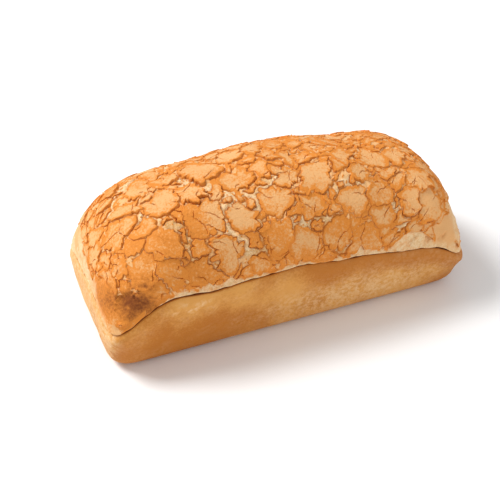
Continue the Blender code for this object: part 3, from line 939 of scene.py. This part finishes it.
# %% A piece from points and faces
def loops_to_faces(loops):
    """Quads between rings of corner numbers, each a row of the same length."""
    faces = []
    for upper, lower in zip(loops, loops[1:]):
        faces += [(upper[i], lower[i], lower[i - 1], upper[i - 1]) for i in range(len(upper))]
    return faces


def face_outward(mesh):
    """Turns every face of a closed mesh so that it looks out of the body."""
    body = bmesh.new()
    body.from_mesh(mesh)
    bmesh.ops.recalc_face_normals(body, faces=body.faces)
    body.to_mesh(mesh)
    body.free()


def make_piece(name, points, faces, fields, material):
    """Makes a mesh object with the named fields as attributes, riding on the loaf's body."""
    mesh = bpy.data.meshes.new(name)
    mesh.from_pydata(points.tolist(), [], faces)
    face_outward(mesh)
    for field, values in fields.items():
        attribute = mesh.attributes.new(field, "FLOAT", "POINT")
        attribute.data.foreach_set("value", np.ascontiguousarray(values, dtype=np.float32))
    mesh.materials.append(material)
    mesh.validate()
    mesh.shade_smooth()
    mesh.set_sharp_from_angle(angle=math.radians(38.0))
    piece = bpy.data.objects.new(name, mesh)
    bpy.context.scene.collection.objects.link(piece)
    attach(piece, "root")
    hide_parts("loaf")
    triangle_count = sum(len(face.vertices) - 2 for face in mesh.polygons)
    print(name, len(mesh.vertices), "points,", triangle_count, "triangles")


# %% Lift the sheet on to the dome
corners, triangles, source = triangulated(places, drawing.lines)
crust_fields = {name: values[source] for name, values in fields.items()}
height = crust_fields.pop("height")
dome_points = on_dome(corners) + dome_normal(corners) * height[:, None]
print(len(triangles), "triangles on the dome")

# %% [markdown]
# ## How brown it is
# Browning does not follow the plates: the near side is browner than the crown, the left near corner
# is dark with two spots that are nearly burnt, and both ends are lighter. Dough that tore late stayed
# pale. Weight painting by hand could show the same, but patches can be read and changed as numbers.
# They are worked out on the finished points, as two numbers that the materials turn into colour.

# %% Browning
BROWN_PATCHES = (
    (0.07, (-0.095, -0.025, 0.090), (0.040, 0.030, 0.030)),
    (0.16, (-0.085, -0.040, 0.088), (0.035, 0.020, 0.020)),
    (-0.22, (0.086, -0.052, 0.068), (0.022, 0.016, 0.013)),
    (0.34, (-0.116, -0.050, 0.061), (0.019, 0.018, 0.014)),
    (-0.10, (-0.062, 0.008, 0.104), (0.030, 0.022, 0.020)),
)


def browning(points):
    """0 lightly baked, 0.5 as most of the dome, 1 and more burnt."""
    brown = 0.44 + 0.09 * ripple(points, 0.034, 61) + 0.06 * ripple(points, 0.013, 62)
    brown = brown + 0.05 * soft_step(-0.02, 0.03, points[..., 1]) * soft_step(-0.06, 0.02, points[..., 0])
    corner = soft_step(0.05, 0.8, corner_zone(points))
    brown = brown - 0.12 * (1.0 - soft_step(-0.124, -0.100, points[..., 0])) * (1.0 - corner)
    near = 1.0 - soft_step(-0.056, -0.030, points[..., 1])
    brown = brown + 0.16 * near * (1.0 - 1.6 * soft_step(0.075, 0.110, points[..., 0]))
    brown = brown + 0.56 * corner - 0.14 * soft_step(0.1, 0.8, right_zone(points))
    for change, centre, size in BROWN_PATCHES:
        brown = brown + change * patch(points, centre, size)
    scorch = np.maximum(patch(points, (-0.1110, -0.054, 0.0605), (0.0120, 0.012, 0.0065)),
                        0.75 * patch(points, (-0.1050, -0.052, 0.0700), (0.0120, 0.010, 0.0042)))
    brown = brown + scorch * (0.47 + 0.22 * ripple(points, 0.0045, 64))
    return np.clip(brown, 0.0, 1.7)


shades = browning(dome_points)
print("browning:", shades.min().round(2), "to", shades.max().round(2), "mean", shades.mean().round(2))


# %% Paleness
def paleness(points):
    """1 where dough tore late and stayed cream, 0 where it browned."""
    over = above_fold(points)
    width = strip_width(points)
    strip = (1.0 - soft_step(0.9, 1.15, over / np.maximum(width, 0.001))) * soft_step(0.0009, 0.0018, width)
    cream = soft_step(0.30, 0.50, bare_patch(points))
    band = soft_step(0.25, 0.60, left_band(points) + 0.05 * ripple(points, 0.010, 63))
    right = patch(points, (0.1195, -0.039, 0.068), (0.0050, 0.016, 0.012))
    right = np.maximum(right, patch(points, (0.1235, -0.049, 0.050), (0.0050, 0.016, 0.015)))
    right = soft_step(0.16, 0.75, right)
    pale = np.maximum(np.maximum(strip, cream), np.maximum(0.85 * band, 0.85 * right))
    return np.clip(pale * (1.0 - soft_step(0.35, 0.8, corner_zone(points))), 0.0, 1.0)


shades = paleness(dome_points)
print("pale:", (100.0 * (shades > 0.5).mean()).round(1), "percent of the dome's points")

# %% [markdown]
# ## Shader helpers and shared effects
# Both parts of the loaf share two effects: the mottled browning of baked flour, and the fine grain
# of a dry crust. Each is a node group, so that it is built once and set differently in each place.

# %% Helpers for node trees
def add_node(tree, kind, **sockets):
    """Adds a node. A socket's value is set, or linked if it is another node's output."""
    node = tree.nodes.new(kind)
    for name, value in sockets.items():
        connect(tree, node.inputs[name.replace("_", " ")], value)
    return node


def connect(tree, socket, value):
    """Links an output to the socket, or sets the socket to a number or a colour."""
    if isinstance(value, bpy.types.NodeSocket):
        tree.links.new(value, socket)
    else:
        socket.default_value = value


def mixed(tree, factor, first, second, blend="MIX"):
    """A colour between first and second."""
    node = tree.nodes.new("ShaderNodeMix")
    node.data_type = "RGBA"
    node.blend_type = blend
    connect(tree, node.inputs["Factor"], factor)
    colours = [socket for socket in node.inputs if socket.type == "RGBA"]
    connect(tree, colours[0], first)
    connect(tree, colours[1], second)
    return next(socket for socket in node.outputs if socket.type == "RGBA")


def maths(tree, operation, first, second=0.0, clamp=False):
    """One sum on numbers."""
    node = tree.nodes.new("ShaderNodeMath")
    node.operation = operation
    node.use_clamp = clamp
    connect(tree, node.inputs[0], first)
    connect(tree, node.inputs[1], second)
    return node.outputs[0]


def swing(tree, value, size):
    """A number that swings about 0.5, made to swing about 0 and multiplied by size."""
    return maths(tree, "MULTIPLY", maths(tree, "SUBTRACT", value, 0.5), size)


def stepped(tree, value, low, high, to_low=0.0, to_high=1.0):
    """The value moved from one range to another, with soft ends."""
    node = tree.nodes.new("ShaderNodeMapRange")
    node.interpolation_type = "SMOOTHSTEP"
    connect(tree, node.inputs["Value"], value)
    for name, number in (("From Min", low), ("From Max", high), ("To Min", to_low), ("To Max", to_high)):
        node.inputs[name].default_value = number
    return node.outputs["Result"]


def painted(tree, name):
    """A number painted on the mesh."""
    node = tree.nodes.new("ShaderNodeAttribute")
    node.attribute_name = name
    return node.outputs["Fac"]


def noise(tree, scale, detail=3.0, roughness=0.55, distortion=0.0):
    """Noise through the loaf, in features for each metre."""
    place = tree.nodes.new("ShaderNodeTexCoord").outputs["Object"]
    node = add_node(tree, "ShaderNodeTexNoise", Vector=place, Scale=scale, Detail=detail,
                    Roughness=roughness, Distortion=distortion)
    return node.outputs["Fac"]


def new_group(name, inputs, outputs):
    """An empty node group with number inputs and the named outputs."""
    group = bpy.data.node_groups.new(name, "ShaderNodeTree")
    for label, value in inputs.items():
        socket = group.interface.new_socket(name=label, in_out="INPUT", socket_type="NodeSocketFloat")
        socket.default_value = value
    for label, kind in outputs.items():
        group.interface.new_socket(name=label, in_out="OUTPUT", socket_type=kind)
    return group, group.nodes.new("NodeGroupInput"), group.nodes.new("NodeGroupOutput")


def use_group(tree, group, **values):
    """Places a group in a material with its own values."""
    node = tree.nodes.new("ShaderNodeGroup")
    node.node_tree = group
    for name, value in values.items():
        connect(tree, node.inputs[name], value)
    return node


# %% Mottled browning
def make_mottle_group():
    """Uneven browning: soft clouds and fine freckles, as one number about 0.5."""
    group, entry, leave = new_group("mottled browning", {"Clouds": 1.0, "Freckles": 1.0},
                                    {"Mottle": "NodeSocketFloat"})
    clouds = swing(group, noise(group, 45.0, 4.0), entry.outputs["Clouds"])
    freckles = swing(group, noise(group, 600.0, 3.0, 0.7), entry.outputs["Freckles"])
    total = maths(group, "ADD", maths(group, "ADD", clouds, freckles), 0.5, clamp=True)
    group.links.new(total, leave.inputs["Mottle"])
    return group


MOTTLE = make_mottle_group()
print("mottled browning has", len(MOTTLE.nodes), "nodes")


# %% Grain of a dry crust
GRIT_HEIGHT = 0.0006
PORE_DEPTH = 0.0003


def make_grain_group():
    """Height of the fine grain: grit, and pores of about two millimetres, in metres."""
    group, entry, leave = new_group("crust grain", {"Grit": 1.0, "Pores": 1.0}, {"Height": "NodeSocketFloat"})
    place = group.nodes.new("ShaderNodeTexCoord").outputs["Object"]
    cells = add_node(group, "ShaderNodeTexVoronoi", Vector=place, Scale=520.0)
    pores = stepped(group, cells.outputs["Distance"], 0.0, 0.45)
    grit = maths(group, "MULTIPLY", entry.outputs["Grit"], GRIT_HEIGHT)
    grit = swing(group, noise(group, 900.0, 4.0, 0.7), grit)
    pores = maths(group, "MULTIPLY", pores, maths(group, "MULTIPLY", entry.outputs["Pores"], PORE_DEPTH))
    group.links.new(maths(group, "ADD", grit, pores), leave.inputs["Height"])
    return group


GRAIN = make_grain_group()
print("shared effects:", [group.name for group in bpy.data.node_groups])


# %% [markdown]
# ## Colours of the crust
# A plate is floury and light in its middle and toasted towards its edges. Its broken edge is dark
# brown, and the dough in a wide split is cream. The same dark brown is also painted shade: at the
# foot of narrow cracks, in the creases at the right end and along the fold. Image textures could
# hold all this, but painted numbers and noise stay sharp at any size and keep the script free of
# pictures. The tin-baked crust is smoother and plainer: it goes from gold to brown, and is pale
# where it hardly touched the tin. Its left end is painted paler as painted light, and the bottom of
# its near left corner and the line under the fold are painted darker as painted shade.

# %% Crackle crust material
FLOURY = (0.760, 0.407, 0.163, 1.0)
TOASTED = (0.705, 0.240, 0.034, 1.0)
# Nearly burnt crust; the tin-baked part also uses it as painted shade along the fold
BURNT_AND_SHADE_BROWN = (0.20, 0.050, 0.008, 1.0)
BROKEN_EDGE_AND_SHADE = (0.55, 0.180, 0.025, 1.0)
CREAM = (0.83, 0.59, 0.335, 1.0)
TAN_CRUMB = (0.64, 0.33, 0.105, 1.0)
SHADED_FOOT = (0.66, 0.27, 0.065, 1.0)
GOLDEN_DOUGH = (0.80, 0.435, 0.175, 1.0)


def start_material(name):
    """A new material with its tree and its Principled shader."""
    material = bpy.data.materials.new(name)
    material.use_nodes = True
    return material, material.node_tree, material.node_tree.nodes["Principled BSDF"]


def finish_surface(tree, shader, colour, roughness, specular, grit, pores, strength):
    """Gives a shader its colour, its dull shine and its grain."""
    tree.links.new(colour, shader.inputs["Base Color"])
    shader.inputs["Roughness"].default_value = roughness
    shader.inputs["Specular IOR Level"].default_value = specular
    height = use_group(tree, GRAIN, Grit=grit, Pores=pores).outputs["Height"]
    bump = add_node(tree, "ShaderNodeBump", Strength=strength, Distance=1.0, Height=height)
    tree.links.new(bump.outputs["Normal"], shader.inputs["Normal"])


def crackle_crust():
    """Plates, broken edges and the dough between them."""
    material, tree, shader = start_material("crackle crust")
    mottle = use_group(tree, MOTTLE, Clouds=1.0, Freckles=1.8).outputs["Mottle"]
    brown = maths(tree, "ADD", painted(tree, "brown"), maths(tree, "SUBTRACT", mottle, 0.5))
    brown = maths(tree, "ADD", brown, swing(tree, painted(tree, "tone"), 0.12))
    uneven = swing(tree, noise(tree, 240.0, 3.0, 0.6), 0.006)
    uneven = maths(tree, "ADD", uneven, swing(tree, noise(tree, 75.0, 2.0, 0.5), 0.008))
    rim = stepped(tree, maths(tree, "ADD", painted(tree, "inner"), uneven), 0.0002, 0.0036, 0.60, 0.0)
    toast = stepped(tree, maths(tree, "ADD", brown, rim), 0.25, 0.85)
    plate = mixed(tree, toast, FLOURY, TOASTED)
    burnt = maths(tree, "ADD", painted(tree, "brown"), swing(tree, mottle, 0.65))
    burnt = stepped(tree, burnt, 0.68, 1.85)
    plate = mixed(tree, burnt, plate, BURNT_AND_SHADE_BROWN)
    foot = stepped(tree, painted(tree, "inner"), -0.0010, -0.0001)
    crumb = stepped(tree, noise(tree, 520.0, 3.0, 0.7), 0.42, 0.66, 0.0, 0.75)
    open_wide = stepped(tree, painted(tree, "gap"), 0.20, 0.75)
    low_split = stepped(tree, painted(tree, "brown"), 0.44, 0.70, 0.0, 0.55)
    split = mixed(tree, maths(tree, "ADD", crumb, low_split, clamp=True), CREAM, TAN_CRUMB)
    split = mixed(tree, foot, split, SHADED_FOOT)
    split = mixed(tree, open_wide, GOLDEN_DOUGH, split)
    bare = mixed(tree, stepped(tree, brown, 0.25, 0.85), GOLDEN_DOUGH, TOASTED)
    cream = mixed(tree, maths(tree, "MULTIPLY", crumb, 0.7), CREAM, TAN_CRUMB)
    dough = mixed(tree, painted(tree, "bare"), split, bare)
    colour = mixed(tree, stepped(tree, painted(tree, "crust"), 0.25, 0.75), dough, plate)
    torn = stepped(tree, noise(tree, 150.0, 4.0, 0.7, 0.6), 0.36, 0.58, 0.45, 1.0)
    pale = maths(tree, "MULTIPLY", painted(tree, "pale"), painted(tree, "bare"))
    pale = maths(tree, "MULTIPLY", pale, torn)
    colour = mixed(tree, pale, colour, cream)
    # Broken-edge brown, which is also painted shade at the foot of narrow cracks, in creases and along the
    # fold
    broken = stepped(tree, noise(tree, 170.0, 3.0, 0.75), 0.38, 0.62, 0.15, 1.0)
    colour = mixed(tree, maths(tree, "MULTIPLY", painted(tree, "edge"), broken), colour, BROKEN_EDGE_AND_SHADE)
    finish_surface(tree, shader, colour, roughness=0.72, specular=0.2, grit=1.0, pores=0.6, strength=0.9)
    return material


CRACKLE_CRUST = crackle_crust()
print("the crackle crust has", len(CRACKLE_CRUST.node_tree.nodes), "nodes")


# %% Tin-baked material
TIN_GOLD = (0.68, 0.315, 0.070, 1.0)
TIN_BROWN_AND_SHADE = (0.48, 0.160, 0.016, 1.0)
TIN_PALE = (0.83, 0.56, 0.30, 1.0)


def tin_baked():
    """The thin smooth crust that formed against the tin."""
    material, tree, shader = start_material("tin-baked crust")
    mottle = use_group(tree, MOTTLE, Clouds=1.1, Freckles=0.9).outputs["Mottle"]
    # The painted brown is partly painted shade, at the bottom of the near left corner
    brown = maths(tree, "ADD", painted(tree, "brown"), maths(tree, "SUBTRACT", mottle, 0.5))
    colour = mixed(tree, stepped(tree, brown, 0.15, 0.95), TIN_GOLD, TIN_BROWN_AND_SHADE)
    speckle = stepped(tree, noise(tree, 330.0, 4.0, 0.75), 0.36, 0.68)
    # The painted paleness is partly painted light, at the left end
    colour = mixed(tree, maths(tree, "MULTIPLY", painted(tree, "pale"), speckle), colour, TIN_PALE)
    # Painted shade: where brown is above 1, inside and just under the fold, the colour goes to dark brown
    colour = mixed(tree, stepped(tree, painted(tree, "brown"), 1.1, 1.5), colour, BURNT_AND_SHADE_BROWN)
    finish_surface(tree, shader, colour, roughness=0.62, specular=0.25, grit=0.85, pores=0.4, strength=0.6)
    return material


TIN_CRUST = tin_baked()
print("the tin-baked crust has", len(TIN_CRUST.node_tree.nodes), "nodes")


# %% [markdown]
# ## The dome
# The lifted triangles, the rolled border and the hidden faces below become one mesh. Along the fold
# the last row that can be seen is painted dark as painted shade in the fold, most of all on the left.
# What is hidden inside the fold is painted dark too, so that no light seam shows there.

# %% Make the dome
HIDDEN_SHADE_EDGE = 2.0
SHADED_TO = -0.06

border_of = {int(found): index for index, found in enumerate(source) if found < border_first + border_count}
border_loop = [border_of[border_first + i] for i in range(border_count)]
border_shares = corners[border_loop] / SHEET
rows = roll_rows(border_shares)
loops = [border_loop]
points = [dome_points]
made = len(dome_points)
for row in rows:
    loops.append(list(range(made, made + border_count)))
    points.append(row)
    made += border_count
points.append(np.array([[0.0, 0.0, FOLD_HEIGHT]]))
faces = triangles.tolist() + loops_to_faces(loops)
faces += [(loops[-1][i], made, loops[-1][i - 1]) for i in range(border_count)]
points = np.concatenate(points)
extra = len(points) - len(dome_points)
crust_fields = {name: np.append(values, np.zeros(extra)) for name, values in crust_fields.items()}
roll = slice(len(dome_points), None)
crust_fields["crust"][roll] = cover(points[roll]) > 0.0
crust_fields["inner"][roll] = BORDER_INNER
crust_fields["tone"][roll] = MIDDLE_TONE
hidden = len(dome_points) + SHOWN_LIP_ROWS * border_count
last_shown = slice(hidden - border_count, hidden)
# Painted shade: the last row seen along the fold gets some broken-edge brown, more on the left, and the
# hidden rows get all of it
crust_fields["edge"][last_shown] = 0.2 + 0.4 * (points[last_shown, 0] < SHADED_TO)
crust_fields["edge"][hidden:] = HIDDEN_SHADE_EDGE
crust_fields["brown"] = browning(points)
crust_fields["pale"] = paleness(points)
crust_fields["bare"] = 1.0 - soft_step(-0.0002, 0.0004, cover(points))
crust_fields["pale"][hidden:] = 0.0
make_piece("crackle_dome", points, faces, crust_fields, CRACKLE_CRUST)

# %% [markdown]
# ## The tin-baked part
# Below the fold the loaf is the tin's shape: nearly upright walls, rounded where the dough didn't
# fill the tin's corners. Rings of points run down the wall and close under the base. A cube with
# bevelled edges would come close, but its top couldn't follow the fold.

# %% Rings round the tin-baked part
SIDE_SPACING = 0.0018
SHOULDER = ((6.0, -0.01), (3.0, -0.01), (1.5, 0.0), (0.7, 0.04), (0.1, 0.12), (-0.4, 0.25), (-0.8, 0.45),
            (-1.1, 0.72), (-1.2, 1.0))
HIDDEN_SHOULDER_ROWS = 3
WALL_STEPS = 22
BASE_STEPS = 7
BASE_INSETS = (0.022, 0.032, 0.044)
HIDDEN_TOP = 0.004


def shoulder_drop(x, y):
    """How far below the fold the tin-baked side is fullest: less where the side is low."""
    return SHOULDER_DROP * fold_height(x, y) / FOLD_HEIGHT


def side_rows():
    """Insets and heights of the rings, from the hidden one inside the fold down to the base."""
    rows = []
    for inset, share in SHOULDER:
        inset = inset * MM
        rows.append(((inset, inset),
                     lambda x, y, share=share: fold_height(x, y) - share * shoulder_drop(x, y)))
    taper = 1.0 - BASE_ROUNDING / FOLD_HEIGHT
    foot = np.array([TAPER_LENGTH, TAPER_WIDTH]) * taper
    full = np.array([-SHOULDER_BULGE, -SHOULDER_BULGE])
    for share in np.linspace(0.0, 1.0, WALL_STEPS + 1)[1:]:
        inset = tuple(full * (1.0 - share) + foot * share)

        def height(x, y, share=share):
            return (fold_height(x, y) - shoulder_drop(x, y)) * (1.0 - share) + BASE_ROUNDING * share

        rows.append((inset, height))
    for tilt in np.linspace(0.5 * math.pi, 0.0, BASE_STEPS + 1)[1:]:
        inset = BASE_ROUNDING * (1.0 - math.sin(tilt))
        level = BASE_ROUNDING * (1.0 - math.cos(tilt))
        taper = 1.0 - level / FOLD_HEIGHT
        inset = (inset + TAPER_LENGTH * taper, inset + TAPER_WIDTH * taper)
        rows.append((inset, lambda x, y, level=level: np.full_like(x, level)))
    for inset in BASE_INSETS:
        rows.append(((inset, inset), lambda x, y: np.zeros_like(x)))
    return rows


shares = outline_shares((HALF_LENGTH, HALF_WIDTH), SIDE_SPACING)
rings = [side_point(shares[:, 0], shares[:, 1], inset, height) for inset, height in side_rows()]
ring = len(shares)
points = np.concatenate(rings + [np.array([[0.0, 0.0, FOLD_HEIGHT - HIDDEN_TOP], [0.0, 0.0, 0.0]])])
loops = [list(range(row * ring, (row + 1) * ring)) for row in range(len(rings))]
top, bottom = len(points) - 2, len(points) - 1
faces = loops_to_faces(loops)
faces += [(loops[0][i - 1], top, loops[0][i]) for i in range(ring)]
faces += [(loops[-1][i], bottom, loops[-1][i - 1]) for i in range(ring)]
print(len(rings), "rings of", ring, "points")


# %% Relief and shades of the tin-baked part
DIMPLE = (-0.1285, -0.0465, 0.0360)
DIMPLE_SIZE = (0.0060, 0.0050, 0.0050)
DIMPLE_SHADE = (0.0050, 0.0060, 0.0065)
DIMPLE_DEPTH = 0.0022
HIDDEN_SHADE_BROWN = 1.6


def wall_relief(points):
    """Gentle unevenness of the walls, none at the base."""
    lumps = 0.00026 * ripple(points, 0.016, 71) + 0.00010 * ripple(points * (1.0, 1.0, 0.4), 0.005, 72)
    crease_line = np.exp(-((ripple(points * (0.45, 1.0, 1.6), 0.050, 75) / 0.10) ** 2))
    crease = crease_line * patch(points, (0.070, -0.055, 0.030), (0.040, 0.040, 0.014))
    return (lumps - 0.0006 * crease) * soft_step(0.003, 0.015, points[..., 2])


def body_shades(points):
    """How brown and how pale the tin-baked crust is, as fields of numbers from 0 to 1."""
    # Painted light: the left end, which faces the light, is painted paler and less brown
    lit_left_end = 1.0 - soft_step(-0.131, -0.122, points[:, 0])
    rightward = -0.14 + 0.62 * soft_step(-0.090, 0.020, points[:, 0])
    under_fold = soft_step(-0.022, -0.004, above_fold(points)) * rightward
    # Painted shade: darker at the bottom of the near left corner, where the light does not reach. The crust
    # is also darker towards the right end, browner just under the fold on the right and lighter there on the
    # left
    shade_and_browning = 0.74 * patch(points, (-0.115, -0.055, 0.012), (0.055, 0.030, 0.022))
    shade_and_browning = shade_and_browning + 0.46 * soft_step(0.080, 0.120, points[:, 0]) + under_fold - 0.45 * lit_left_end
    fringe = patch(points, (-0.076, -0.057, 0.0475), (0.016, 0.020, 0.0050))
    fringe = fringe * soft_step(-0.4, 0.9, ripple(points, 0.006, 76))
    faded = patch(points, (0.045, -0.055, 0.022), (0.060, 0.030, 0.015))
    dimple = patch(points, DIMPLE, DIMPLE_SHADE)
    clouds = 0.14 * soft_step(-0.6, 1.6, ripple(points, 0.018, 74))
    brown = 0.5 + 0.15 * ripple(points, 0.04, 73) + shade_and_browning - 0.25 * faded - 0.3 * fringe + 0.1 * dimple
    pale = 0.75 * faded + clouds + 0.80 * lit_left_end + fringe + 0.3 * dimple
    return {"brown": np.clip(brown, 0.0, 1.0), "pale": np.clip(pale, 0.0, 1.0)}


relief = wall_relief(points) / MM
print("the walls are uneven by", relief.min().round(1), "to", relief.max().round(1), "mm")

# %% Make the tin-baked part
outward = points * (1.0, 1.0, 0.0) / (HALF_LENGTH**2, HALF_WIDTH**2, 1.0)
outward /= np.maximum(np.linalg.norm(outward, axis=1, keepdims=True), 1e-9)
points = points + outward * wall_relief(points)[:, None]
points = points - outward * DIMPLE_DEPTH * patch(points, DIMPLE, DIMPLE_SIZE)[:, None]
body_fields = body_shades(points)
# Painted shade: the hidden rows inside the fold and the first row seen under it are painted dark brown, more
# on the left
body_fields["brown"][:HIDDEN_SHOULDER_ROWS * ring] = HIDDEN_SHADE_BROWN
first_shown = slice(HIDDEN_SHOULDER_ROWS * ring, (HIDDEN_SHOULDER_ROWS + 1) * ring)
body_fields["brown"][first_shown] = 1.0 + 0.35 * (points[first_shown, 0] < SHADED_TO)
make_piece("tin_baked_body", points, faces, body_fields, TIN_CRUST)

# %% [markdown]
# ## Floor and light
# A pale floor and a large soft light from the upper left, as in the photo: the left end is bright
# and the long side lies in its own soft shade. A second, weaker light fills in from the front right.
# A picture of a studio on the world would light the loaf as well, but its light couldn't be aimed.

# %% Floor
HALF_FLOOR = 4.0
FLOOR_GREY = (0.90, 0.90, 0.90, 1.0)

floor_mesh = bpy.data.meshes.new("floor")
floor_corners = [(HALF_FLOOR * x, HALF_FLOOR * y, 0.0) for x, y in ((-1, -1), (1, -1), (1, 1), (-1, 1))]
floor_mesh.from_pydata(floor_corners, [], [(0, 1, 2, 3)])
floor = bpy.data.objects.new("floor", floor_mesh)
bpy.context.scene.collection.objects.link(floor)
floor_material, _, floor_shader = start_material("pale floor")
floor_shader.inputs["Base Color"].default_value = FLOOR_GREY
floor_shader.inputs["Roughness"].default_value = 0.9
floor_mesh.materials.append(floor_material)
print("the floor is", 2.0 * HALF_FLOOR, "m wide")


# %% Lights and world
WORLD_LIGHT = 0.55


def soft_light(name, place, size, power):
    """A square area light that faces the loaf."""
    light = bpy.data.objects.new(name, bpy.data.lights.new(name, "AREA"))
    light.data.size = size
    light.data.energy = power
    light.location = place
    light.rotation_euler = (AIM - Vector(place)).to_track_quat("-Z", "Y").to_euler()
    bpy.context.scene.collection.objects.link(light)
    print(name, "of", power, "W,", round((AIM - light.location).length, 2), "m from the loaf")


soft_light("key light", place=(-1.30, 0.80, 1.90), size=0.95, power=56.0)
soft_light("fill light", place=(0.85, -1.40, 1.0), size=1.6, power=8.2)
world = bpy.data.worlds.new("studio")
bpy.context.scene.world = world
world.use_nodes = True
background = world.node_tree.nodes["Background"]
background.inputs["Color"].default_value = (1.0, 1.0, 1.0, 1.0)
background.inputs["Strength"].default_value = WORLD_LIGHT
bpy.context.scene.view_settings.view_transform = "Standard"
